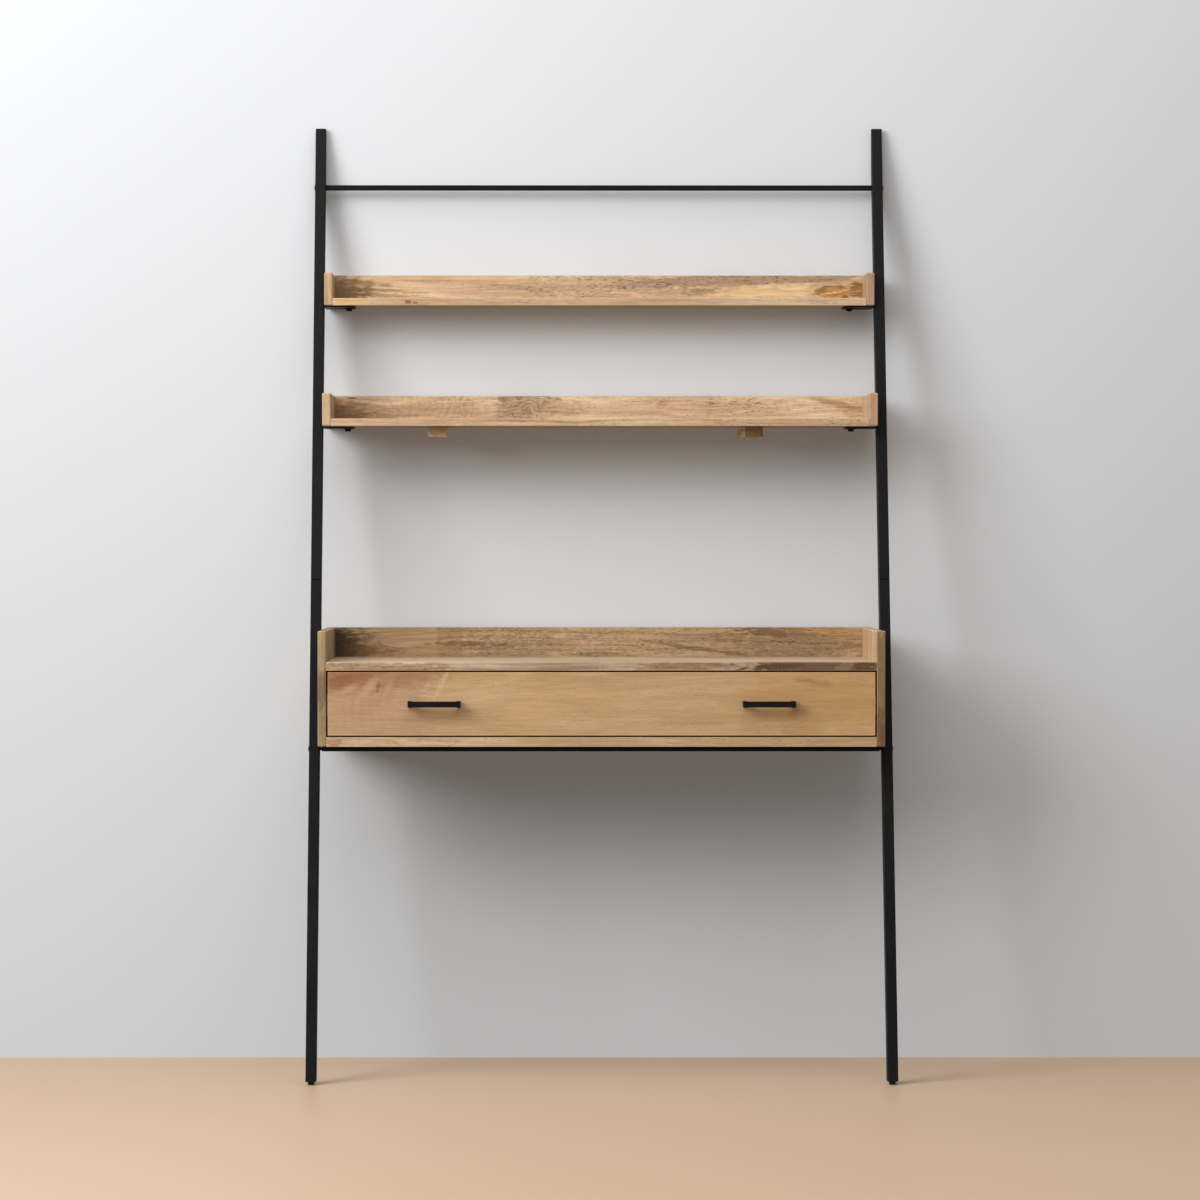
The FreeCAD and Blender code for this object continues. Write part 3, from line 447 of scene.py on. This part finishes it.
SHELF_BOARDS = {
    "upper_shelf_back": Board(
        "X", 3.1, (90, 40), "#b5967a", "#ccae8d", "#dbbf9c", "#957a5b", 0.3, 0.2, 0.5,
        spots=(
            # Painted shade, partly dark wood: the dark corner and the dark streaks at the left end stand
            # partly for the shade that the left end casts there
            Spot((-515, -7, -8), (85, 10, 30), "#5f4224", 0.85, 0.3, 0, 1.7),
            Spot((-462, 0, 11), (75, 40, 6), "#85653f", 0.7, 0.3, -6, 1.7),
            Spot((-440, 0, -3), (95, 40, 5), "#80603a", 0.7, 0.3, -4, 1.7),
            Spot((-425, 0, -14), (85, 40, 5), "#80603a", 0.6, 0.3, -3, 1.7),
            Spot((20, 0, 4), (190, 40, 30), "#b99e82", 0.7, 0.45),
            Spot((-130, 0, -4), (70, 40, 6), "#a2866a", 0.5, 0.5, -8),
            Spot((48, 0, -8), (75, 40, 6), "#d3b38b", 0.6, 0.0, -8),
            Spot((300, 0, 18), (310, 40, 13), "#a1876f", 0.8, 0.5, 2.7, 0.5),
            Spot((204, 0, -7), (42, 40, 8), "#937859", 0.6, 0.7),
            Spot((334, 0, -7), (114, 40, 13), "#dfbe90", 0.9, -0.3, 2, 0.9),
            Spot((464, 0, -6), (46, 40, 15), "#b3803c", 0.85, 0.6, 3, 0.9),
            Spot((436, 0, 0), (20, 40, 4), "#7d5727", 0.7, 0.2, 18, 0.8),
            Spot((440, 0, -9), (22, 40, 4), "#7d5727", 0.65, 0.2, -8, 0.8),
            Spot((462, 0, 2), (22, 40, 3), "#86602e", 0.5, 0.2, -10, 0.8),
            Spot((464, 0, -7), (34, 40, 3), "#e0b676", 0.8, 0.0, 10, 0.6),
            Spot((525, 0, -3), (52, 40, 19), "#80582a", 0.85, 0.3, 0, 0.8),
            Spot((495, 0, -7), (24, 40, 2.5), "#c9995a", 0.5, 0.0, 8, 0.6),
        )),
    "upper_shelf_board": Board(
        "X", 7.7, (160, 20), "#bb9b7a", "#caac8b", "#d7bc9b", "#a28563", 0.2, 0.2, 0.35,
        spots=(
            Spot((-478, -49, 0), (30, 25, 12), "#d0a25f", 0.6, 0.0, 0, 1.3),
            Spot((-362, -49, -1), (36, 14, 10), "#c39478", 0.6, 0.0, 0, 1.5),
            Spot((-368, -49, 0), (6, 8, 3.5), "#7a4c30", 0.9, 0.5, 0, 1.2),
            Spot((-355, -49, -2), (5, 8, 2.5), "#85583c", 0.8, 0.5, 0, 1.2),
        )),
    "upper_shelf_left_end": Board("Z", 11.3, (70, 60), "#b69674", "#c3a381", "#cfb28f", "#9f815f", 0.2),
    "upper_shelf_right_end": Board("Z", 12.9, (-40, 80), "#a3846b", "#b29377", "#c0a287", "#8b6d53",
                                   0.25, 0.1),
    "middle_shelf_back": Board(
        "X", 17.2, (120, -30), "#c8a787", "#dabd9c", "#e4caa9", "#8a6e52", 0.25, 0.25, 0.5,
        spots=(
            # Painted shade, partly dark wood: the dark spot in the left corner stands partly for the
            # shade that the left end casts there
            Spot((-510, -7, -9), (75, 10, 26), "#6b4d2e", 0.75, 0.3, 0, 1.7),
            Spot((-445, 0, -14), (90, 40, 7), "#8d6d4a", 0.6, 0.3, 0, 1.7),
            Spot((-450, 0, 6), (60, 40, 5), "#97774f", 0.5, 0.3, -4, 1.7),
            Spot((-300, 0, 2), (95, 40, 45), "#b3946f", 0.5, 0.2, 0, 1.7),
            Spot((-165, 0, 0), (34, 400, 400), "#977c60", 0.35, 0.2, 0, 0.3),
            Spot((-140, 0, 0), (58, 400, 400), "#977c60", 0.5, 0.3, 0, 1.2),
            Spot((-80, 0, 0), (45, 40, 16), "#b5946f", 0.5, 0.4),
            Spot((121, 0, 7), (17, 40, 9), "#c08a63", 0.45, 0.5, 40),
            Spot((285, 0, 5), (95, 40, 15), "#bf9f7d", 0.5, 0.7),
            Spot((465, 0, 8), (58, 40, 7), "#a47a48", 0.7, 0.3, -13, 1.5),
            Spot((495, 0, -8), (26, 40, 14), "#b38f63", 0.5, 0.2),
            Spot((-480, 0, 20), (10, 40, 1.6), "#55402c", 0.85, 0.0, 0, 0.4),
        ),
        figures=(
            Figure((-380, 0, 4), (55, 60, 60), (-470, 0, -2), (13, 60, 16), 2.4, 0.16),
            Figure((-285, 0, 4), (55, 60, 60), (-328, 0, 5), (11, 60, 13), 3.6, 0.27),
            Figure((-148, 0, 2), (56, 60, 60), (-148, 0, 70), (60, 60, 14), 6.0, 0.8),
        )),
    "middle_shelf_board": Board("X", 21.4, (150, 60), "#bd9a78", "#caa988", "#d8bb99", "#967860",
                                0.3, 0.22, 0.6),
    "middle_shelf_left_end": Board("Z", 24.8, (60, 70), "#b99978", "#c5a686", "#d1b494", "#a08263", 0.2),
    "middle_shelf_right_end": Board(
        "Z", 26.5, (50, -60), "#ad896a", "#bd9a79", "#caa98a", "#916f52", 0.2, 0.08,
        spots=(Spot((0, 34, 0), (80, 95, 40), "#cfb192", 0.8, 0.0, 0, 0.5),)),
}

DESK_BOARDS = {
    "desk_gallery": Board(
        "X", 31.9, (100, 50), "#97795a", "#b49774", "#c8ac88", "#5d462f", 0.4, 0.2, 0.65,
        spots=(
            Spot((-390, 0, 0), (75, 400, 400), "#b0906a", 0.6, -0.2, 0, 0.05),
            Spot((-290, 0, 0), (25, 400, 400), "#a07f58", 0.6, 0.3, 0, 0.05),
            # Painted shade, partly dark wood: the dark spots in the left corner stand partly for the
            # shade that the left desk side casts there
            Spot((-522, -7, -8), (85, 10, 60), "#322112", 0.95, 0.1, 0, 1.8),
            Spot((-450, 0, -16), (60, 40, 14), "#6b4c2d", 0.6, 0.4, 0, 1.4),
            Spot((-150, 0, 0), (120, 40, 45), "#8a6d4d", 0.4, 0.3, 0, 1.5),
            Spot((-250, 0, -2), (75, 40, 5), "#6f5136", 0.7, 0.4),
            Spot((110, 0, 0), (150, 40, 40), "#c0a47e", 0.5, 0.4),
            Spot((190, 0, -12), (100, 40, 4), "#7d6040", 0.65, 0.4, -8),
            Spot((380, 0, 0), (140, 40, 40), "#8b6e50", 0.7, 0.45),
            Spot((330, 0, 20), (50, 40, 10), "#6f553b", 0.6, 0.4, -6),
            Spot((460, 0, 18), (52, 40, 9), "#cda163", 0.65, 0.0, -4, 1.5),
        ),
        figures=(
            Figure((-175, 0, 6), (110, 60, 50), (-215, 0, 80), (60, 60, 18), 7.0, 0.34),
            Figure((-15, 0, 4), (70, 60, 50), (-25, 0, 80), (60, 60, 18), 7.0, 0.3),
        )),
    "desk_top": Board(
        "X", 36.2, (140, 30), "#b2967a", "#caaf92", "#d7bca0", "#6c5037", 0.4, 0.2, 0.4,
        spots=(
            Spot((-400, -176, -3), (140, 10, 12), "#ad8c66", 0.75, 0.4),
            Spot((145, -176, -2), (85, 10, 12), "#9f7e55", 0.8, 0.3),
            Spot((400, -176, 0), (135, 14, 40), "#654530", 0.9, 0.2, 0, 0.7),
            Spot((330, -176, 1), (62, 14, 11), "#553720", 0.85, 0.2, 8, 1.4),
            Spot((455, -176, 1), (22, 10, 8), "#a07d5f", 0.7, 0.0, 10),
            Spot((490, -176, -1), (24, 14, 12), "#553820", 0.85, 0.2, 0, 1.4),
        ),
        figures=(Figure((355, -176, 0), (40, 10, 30), (362, -176, -2), (7, 60, 7), 1.0, 0.6),)),
    "desk_bottom": Board(
        "X", 41.5, (170, -20), "#bb9974", "#c9a882", "#d5b793", "#9c7c5c", 0.25, 0.2, 0.35,
        spots=(
            Spot((-498, -176, -1), (16, 40, 7), "#a8734d", 0.6),
            Spot((-440, -176, 0), (45, 40, 4), "#dcbf9c", 0.5, 0.0, 25),
        )),
    "left_desk_side": Board(
        "Z", 44.7, (80, 40), "#947c5a", "#ae9572", "#c2a984", "#6a553d", 0.4, 0.2, 0.5,
        spots=(
            Spot((-2, -170, 0), (40, 30, 20), "#6f5940", 0.7, 0.5, 0, 1.3),
            Spot((-62, -170, 0), (40, 30, 20), "#9a7e5a", 0.5),
        )),
    "right_desk_side": Board(
        "Z", 47.3, (-60, 50), "#bd9c78", "#cfae89", "#dabd99", "#8d7050", 0.15, 0.08, 0.35,
        spots=(
            Spot((-10, -176, 0), (140, 12, 24), "#826543", 0.9, 0.2, 0, 0.5),
            Spot((-75, -176, 0), (38, 9, 20), "#634a30", 0.75, 0.3),
        )),
    "desk_rear_panel": Board("X", 49.6, (200, 30), "#b7966f", "#c6a680", "#d3b690", "#9d7f5f", 0.25),
}

DRAWER_BOARDS = {
    "drawer_front": Board(
        "X", 53.8, (260, 30), "#bf9a6f", "#c7a277", "#cfab82", "#a17a4c", 0.12, 0.14, 0.22,
        spots=(
            Spot((-430, 0, 0), (120, 40, 400), "#ba9473", 0.7, 0.0, 0, 0.5),
            Spot((-450, 0, 58), (130, 40, 40), "#935f3c", 0.85, 0.0, 4, 2.4),
            Spot((-495, 0, 42), (70, 40, 18), "#8d5836", 0.65, 0.0, 8, 2.2),
            Spot((-400, 0, 50), (44, 40, 8), "#bd916c", 0.6, 0.0, 30, 1.4),
            Spot((-436, 0, 30), (34, 40, 9), "#d0aa86", 0.55, 0.0, 52, 1.8),
            Spot((-470, 0, 28), (24, 40, 8), "#cba380", 0.5, 0.0, 30, 1.8),
            Spot((-397, 0, 32), (20, 40, 7), "#cba380", 0.5, 0.0, 62, 1.8),
            Spot((-416, 0, 34), (12, 40, 4), "#855638", 0.6, 0.0, 75),
            Spot((-345, 0, 54), (70, 40, 24), "#a5764f", 0.65, 0.0, 6, 2.2),
            Spot((-300, 0, 34), (38, 40, 5), "#d8b68f", 0.65, 0.0, 64, 1.3),
            Spot((-180, 0, 44), (80, 40, 6), "#d2ad80", 0.5, 0.0, 16),
            Spot((430, 0, 0), (170, 40, 90), "#c4955b", 0.45),
            Spot((400, 0, 38), (50, 40, 7), "#9c6c3b", 0.5, 0.0, -10, 2.0),
        ),
        figures=(Figure((-440, 0, -8), (62, 60, 60), (-385, 0, -8), (16, 60, 24), 0.6, 0.12),),
        contrast=0.5),
    "drawer_left_side": Board("Y", 57.1, (120, 60), *DRAWER_TONES, 0.2),
    "drawer_right_side": Board("Y", 58.6, (-90, 70), *DRAWER_TONES, 0.2),
    "drawer_back": Board("X", 61.2, (130, 40), *DRAWER_TONES, 0.2),
    "drawer_bottom": Board("X", 63.9, (300, 300), "#d0b68d", "#dac29b", "#e3cfab", "#b89a70",
                           0.15, 0.15, 0.15),
}

BLOCK_BOARDS = {
    "left_turning_block": Board("Y", 67.4, (40, 20), "#cda676", "#eac99a", "#f2d8ae", "#7e5d3a", 0.5),
    # Painted shade and painted light: its tones are darker than the left block's for the shade on its
    # front, which faces away from the light, and the pale spot is painted light on its left face
    "right_turning_block": Board(
        "Y", 69.8, (-30, 30), "#967349", "#b38d5e", "#c8a16f", "#5f4326", 0.5,
        spots=(Spot((0, 20, 0), (80, 9, 40), "#e2c9a2", 0.85, 0.2, 0, 0.3),)),
}

DOWELS = {
    "board_dowels": Board("X", 71.5, (30, 20), *BEECH_TONES, 0.2),
    "drawer_dowels": Board("X", 73.7, (20, 30), *BEECH_TONES, 0.2),
}


def finish_boards(boards, kind):
    """Gives each board its own oiled wood."""
    for node, board in boards.items():
        paint(nodes[node], oiled_wood(kind + " " + node.replace("_", " "), node, board))


# Steel, plastic and plating

BLOOM_SIZE = 60 * MM
GRIT_DEPTH = 0.15 * MM
PIT_SIZE = 1.2 * MM
PIT_DEPTH = 0.1 * MM
CLOUD_SIZE = 12 * MM
ROLLED_WIDTH = 1.5 * MM
ROLLED_LENGTH = 60 * MM
ROLLED_DEPTH = 0.05 * MM


def powder_coated_steel():
    """Steel tube and plate with a satin black powder coat.

    The baked powder leaves a fine grit that spreads highlights, with a faint grey bloom.
    """
    steel = bpy.context.scene.ladder_desk.steel
    material, add = new_material("satin black powder coated steel")
    place = add("ShaderNodeTexCoord", out="Object")
    grit = add("ShaderNodeTexNoise", {"Vector": place, "Scale": 1 / steel.grit, "Detail": 2.0})
    bloom = add("ShaderNodeTexNoise", {"Vector": place, "Scale": 1 / BLOOM_SIZE, "Detail": 3.0})
    bloom_mask = add("ShaderNodeMapRange", {"Value": bloom, "From Min": 0.4, "From Max": 0.75,
                                            "To Min": 0.1, "To Max": 0.9})
    tone = add("ShaderNodeMix", {"Factor": bloom_mask, "A": tuple(steel.coat_colour),
                                 "B": tuple(steel.dust_colour)}, data_type="RGBA")
    roughness = add("ShaderNodeMapRange", {"Value": bloom, "From Min": 0.3, "From Max": 0.7,
                                           "To Min": 0.42, "To Max": 0.54})
    normal = add("ShaderNodeBump", {"Height": grit, "Strength": 0.3, "Distance": GRIT_DEPTH})
    surface = add("ShaderNodeBsdfPrincipled", {"Base Color": tone, "Roughness": roughness, "IOR": 1.45,
                                               "Specular IOR Level": 0.1, "Normal": normal})
    add("ShaderNodeOutputMaterial", {"Surface": surface})
    return material


def moulded_nylon():
    """Black nylon, injection moulded in a sparked tool, which leaves it dull and finely pitted."""
    steel = bpy.context.scene.ladder_desk.steel
    material, add = new_material("moulded black nylon")
    place = add("ShaderNodeTexCoord", out="Object")
    pits = add("ShaderNodeTexVoronoi", {"Vector": place, "Scale": 1 / PIT_SIZE}, out="Distance")
    cloud = add("ShaderNodeTexNoise", {"Vector": place, "Scale": 1 / CLOUD_SIZE, "Detail": 2.0})
    tone = add("ShaderNodeMix", {"Factor": cloud, "A": tuple(steel.plastic_colour),
                                 "B": tuple(steel.dust_colour)}, data_type="RGBA")
    roughness = add("ShaderNodeMapRange", {"Value": cloud, "From Min": 0.3, "From Max": 0.7,
                                           "To Min": 0.5, "To Max": 0.66})
    normal = add("ShaderNodeBump", {"Height": pits, "Strength": 0.3, "Distance": PIT_DEPTH})
    surface = add("ShaderNodeBsdfPrincipled", {"Base Color": tone, "Roughness": roughness, "IOR": 1.53,
                                               "Specular IOR Level": 0.12, "Normal": normal})
    add("ShaderNodeOutputMaterial", {"Surface": surface})
    return material


def zinc_plated_steel():
    """Pressed steel with bright zinc plating.

    The plating shows a faint patchwork of crystals, over the fine rolling lines of the steel.
    """
    steel = bpy.context.scene.ladder_desk.steel
    material, add = new_material("zinc plated pressed steel")
    place = add("ShaderNodeTexCoord", out="Object")
    crystals = add("ShaderNodeTexVoronoi", {"Vector": place, "Scale": 1 / steel.spangle}, out="Color")
    value = add("ShaderNodeSeparateXYZ", {0: crystals})
    rolling = (1 / ROLLED_WIDTH, 1 / ROLLED_LENGTH, 1 / ROLLED_WIDTH)
    rolled = add("ShaderNodeVectorMath", {0: place, 1: rolling}, operation="MULTIPLY")
    lines = add("ShaderNodeTexNoise", {"Vector": rolled, "Scale": 1.0, "Detail": 2.0})
    shade = add("ShaderNodeMapRange", {"Value": value, "To Min": 0.85, "To Max": 1.08})
    tone = add("ShaderNodeVectorMath", {0: tuple(steel.zinc_colour), "Scale": shade}, operation="SCALE")
    roughness = add("ShaderNodeMapRange", {"Value": lines, "From Min": 0.3, "From Max": 0.7,
                                           "To Min": 0.26, "To Max": 0.42})
    normal = add("ShaderNodeBump", {"Height": lines, "Strength": 0.2, "Distance": ROLLED_DEPTH})
    surface = add("ShaderNodeBsdfPrincipled", {"Base Color": tone, "Metallic": 1.0,
                                               "Roughness": roughness, "Normal": normal})
    add("ShaderNodeOutputMaterial", {"Surface": surface})
    return material


def finish_pieces(names, material):
    """Gives several pieces one material."""
    for name in names:
        paint(nodes[name], material)


def pairs(*names):
    """The left and right node of each name."""
    return [side + "_" + name for name in names for side in SIDES]


class LADDERDESK_OT_finish_shelves(bpy.types.Operator):
    """Give the boards of the two tray shelves their oiled wood"""

    bl_idname = "ladderdesk.finish_shelves"
    bl_label = "Finish tray shelves"

    def execute(self, context):
        finish_boards(SHELF_BOARDS, "oiled mango")
        return {"FINISHED"}


class LADDERDESK_OT_finish_desk_box(bpy.types.Operator):
    """Give the boards of the desk box their oiled wood"""

    bl_idname = "ladderdesk.finish_desk_box"
    bl_label = "Finish desk box"

    def execute(self, context):
        finish_boards(DESK_BOARDS, "oiled mango")
        return {"FINISHED"}


class LADDERDESK_OT_finish_drawer(bpy.types.Operator):
    """Give the drawer's front, sides, back and bottom their wood"""

    bl_idname = "ladderdesk.finish_drawer"
    bl_label = "Finish drawer"

    def execute(self, context):
        finish_boards(DRAWER_BOARDS, "oiled drawer wood")
        return {"FINISHED"}


class LADDERDESK_OT_finish_turning_blocks(bpy.types.Operator):
    """Give the two turning blocks under the middle shelf their wood"""

    bl_idname = "ladderdesk.finish_turning_blocks"
    bl_label = "Finish turning blocks"

    def execute(self, context):
        finish_boards(BLOCK_BOARDS, "oiled mango")
        return {"FINISHED"}


class LADDERDESK_OT_finish_dowels(bpy.types.Operator):
    """Give the dowels in the butt joints their wood"""

    bl_idname = "ladderdesk.finish_dowels"
    bl_label = "Finish dowels"

    def execute(self, context):
        finish_boards(DOWELS, "turned beech")
        return {"FINISHED"}


class LADDERDESK_OT_finish_steel_frame(bpy.types.Operator):
    """Give the posts, bars, brackets, bolts and pulls their powder coat"""

    bl_idname = "ladderdesk.finish_steel_frame"
    bl_label = "Finish steel frame"

    def execute(self, context):
        coated = pairs("lower_post", "upper_post", "post_sleeve", "upper_bracket", "middle_bracket",
                       "desk_bracket", "handle")
        coated += ["crossbar", "desk_rail", "frame_bolts", "bracket_bolts"]
        finish_pieces(coated, powder_coated_steel())
        return {"FINISHED"}


class LADDERDESK_OT_finish_caps_and_feet(bpy.types.Operator):
    """Give the post caps, foot plugs and levelling feet their plastic"""

    bl_idname = "ladderdesk.finish_caps_and_feet"
    bl_label = "Finish caps and feet"

    def execute(self, context):
        finish_pieces(pairs("post_cap", "foot_plug", "glide"), moulded_nylon())
        return {"FINISHED"}


class LADDERDESK_OT_finish_runners(bpy.types.Operator):
    """Give the drawer runners and all the screws their plating"""

    bl_idname = "ladderdesk.finish_runners"
    bl_label = "Finish runners and screws"

    def execute(self, context):
        plated = pairs("desk_runner", "drawer_runner")
        plated += ["desk_runner_screws", "drawer_runner_screws", "handle_screws", "block_screws"]
        finish_pieces(plated, zinc_plated_steel())
        return {"FINISHED"}


# Stage

FLOOR_GAP = 0.5 * MM
WALL_GAP = 1 * MM
FLOOR_ROUGHNESS = 0.45
WALL_ROUGHNESS = 0.8
MOTTLES_PER_METRE = 0.6
MOTTLE_SHADE = 0.03


def plain_stage_paint(name, tone, roughness):
    """Plain matt paint on the stage, seen only from its front so that it never hides the object."""
    material, add = new_material(name)
    place = add("ShaderNodeTexCoord", out="Object")
    cloud = add("ShaderNodeTexNoise", {"Vector": place, "Scale": MOTTLES_PER_METRE, "Detail": 3.0})
    shade = add("ShaderNodeMapRange", {"Value": cloud, "To Min": 1 - MOTTLE_SHADE,
                                       "To Max": 1 + MOTTLE_SHADE})
    mottled = add("ShaderNodeVectorMath", {0: tone, "Scale": shade}, operation="SCALE")
    front = add("ShaderNodeBsdfPrincipled", {"Base Color": mottled, "Roughness": roughness,
                                             "Specular IOR Level": 0.2})
    back = add("ShaderNodeBsdfTransparent")
    behind = add("ShaderNodeNewGeometry", out="Backfacing")
    surface = add("ShaderNodeMixShader", {0: behind, 1: front, 2: back})
    add("ShaderNodeOutputMaterial", {"Surface": surface})
    return material


def stage_sheet(name, width, height, turn, place, material):
    """A flat stage sheet, width by height, facing up and then turned and moved into place."""
    mesh = bpy.data.meshes.new(name)
    shape = bmesh.new()
    bmesh.ops.create_grid(shape, x_segments=1, y_segments=1, size=0.5)
    bmesh.ops.scale(shape, vec=(width, height, 1.0), verts=shape.verts)
    bmesh.ops.rotate(shape, cent=(0, 0, 0), matrix=turn, verts=shape.verts)
    bmesh.ops.translate(shape, vec=place, verts=shape.verts)
    shape.to_mesh(mesh)
    shape.free()
    sheet = bpy.data.objects.new(name, mesh)
    bpy.context.scene.collection.objects.link(sheet)
    paint(sheet, material)
    return sheet


def set_floor_and_wall(stage):
    """A plain floor, and a plain wall for the desk to lean on.

    Neither throws its colour back on the desk, and the wall keeps no light off it.
    """
    low, high = cad_box
    floor_paint = plain_stage_paint("plain matt floor", tuple(stage.floor_colour), FLOOR_ROUGHNESS)
    floor = stage_sheet("floor", 2 * stage.floor_reach, 2 * stage.floor_reach, Matrix.Identity(3),
                        (0.0, 0.0, low[2] - FLOOR_GAP), floor_paint)
    floor.visible_diffuse = False
    wall_paint = plain_stage_paint("plain matt wall", tuple(stage.wall_colour), WALL_ROUGHNESS)
    wall = stage_sheet("wall", 2 * stage.wall_reach, stage.wall_height,
                       Matrix.Rotation(math.radians(90), 3, "X"),
                       (0.0, high[1] + WALL_GAP, stage.wall_height / 2), wall_paint)
    wall.visible_diffuse = False
    wall.visible_shadow = False


def set_world(stage):
    """Even light from all around, with a pale background to look at."""
    world = bpy.data.worlds.new("even studio light")
    world.use_nodes = True
    world.node_tree.nodes.clear()
    add = functools.partial(add_node, world.node_tree)
    rays = add("ShaderNodeLightPath").node.outputs
    seen = add("ShaderNodeMath", {0: rays["Is Camera Ray"], 1: rays["Is Glossy Ray"]},
               operation="MAXIMUM")
    seen = add("ShaderNodeMath", {0: seen, 1: rays["Is Transmission Ray"]}, operation="MAXIMUM")
    even = add("ShaderNodeBackground", {"Color": tuple(stage.fill_colour), "Strength": stage.fill})
    pale = add("ShaderNodeBackground", {"Color": tuple(stage.background), "Strength": 1.0})
    both = add("ShaderNodeMixShader", {0: seen, 1: even, 2: pale})
    add("ShaderNodeOutputWorld", {"Surface": both})
    bpy.context.scene.world = world


def set_light(name, spot, aim, watts, size):
    """A square panel of soft light that points from its spot to its aim."""
    lamp = bpy.data.lights.new(name, "AREA")
    lamp.energy = watts
    lamp.size = size
    light = bpy.data.objects.new(name, lamp)
    light.location = spot
    light.rotation_euler = (Vector(aim) - Vector(spot)).to_track_quat("-Z", "Y").to_euler()
    bpy.context.scene.collection.objects.link(light)


def set_camera(stage):
    """A camera with a long lens in front of the desk, at a little over half of its height."""
    front_view = bpy.data.cameras.new("front view")
    front_view.lens = stage.lens
    front_view.shift_x = stage.shift_x
    front_view.shift_y = stage.shift_y
    camera = bpy.data.objects.new("front view", front_view)
    wall = cad_box[1][1]
    camera.location = (stage.camera_offset, wall - stage.camera_distance, stage.camera_height)
    camera.rotation_euler = (math.radians(90) - stage.camera_dip, 0.0, -stage.camera_turn)
    bpy.context.scene.collection.objects.link(camera)
    bpy.context.scene.camera = camera


class LADDERDESK_OT_set_stage(bpy.types.Operator):
    """Set up the floor, the wall, the light and the camera"""

    bl_idname = "ladderdesk.set_stage"
    bl_label = "Set stage"

    def execute(self, context):
        stage = context.scene.ladder_desk.stage
        set_floor_and_wall(stage)
        set_world(stage)
        set_light("window light", stage.key_place, stage.key_aim, stage.key_power, stage.key_size)
        set_light("ceiling light", stage.ceiling_place, stage.ceiling_aim, stage.ceiling_power,
                  stage.ceiling_size)
        set_camera(stage)
        context.scene.view_settings.view_transform = "Standard"
        return {"FINISHED"}


SETTINGS = (WoodSettings, SteelSettings, StageSettings, LadderDeskSettings)
OPERATORS = (
    LADDERDESK_OT_finish_shelves,
    LADDERDESK_OT_finish_desk_box,
    LADDERDESK_OT_finish_drawer,
    LADDERDESK_OT_finish_turning_blocks,
    LADDERDESK_OT_finish_dowels,
    LADDERDESK_OT_finish_steel_frame,
    LADDERDESK_OT_finish_caps_and_feet,
    LADDERDESK_OT_finish_runners,
    LADDERDESK_OT_set_stage,
)


class LADDERDESK_PT_finishes(bpy.types.Panel):
    """Lists the steps that finish the ladder desk"""

    bl_idname = "LADDERDESK_PT_finishes"
    bl_label = "Ladder desk"
    bl_space_type = "VIEW_3D"
    bl_region_type = "UI"
    bl_category = "Ladder desk"

    def draw(self, context):
        for operator in OPERATORS:
            self.layout.operator(operator.bl_idname)


CLASSES = SETTINGS + OPERATORS + (LADDERDESK_PT_finishes,)


def register():
    """Adds the settings, the operators and the panel."""
    for cls in CLASSES:
        bpy.utils.register_class(cls)
    bpy.types.Scene.ladder_desk = PointerProperty(type=LadderDeskSettings)


def unregister():
    """Takes the settings, the operators and the panel away again."""
    del bpy.types.Scene.ladder_desk
    for cls in reversed(CLASSES):
        bpy.utils.unregister_class(cls)


def main():
    """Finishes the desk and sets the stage."""
    register()
    bpy.ops.ladderdesk.finish_shelves()
    bpy.ops.ladderdesk.finish_desk_box()
    bpy.ops.ladderdesk.finish_drawer()
    bpy.ops.ladderdesk.finish_turning_blocks()
    bpy.ops.ladderdesk.finish_dowels()
    bpy.ops.ladderdesk.finish_steel_frame()
    bpy.ops.ladderdesk.finish_caps_and_feet()
    bpy.ops.ladderdesk.finish_runners()
    bpy.ops.ladderdesk.set_stage()


if __name__ == "__main__":
    main()
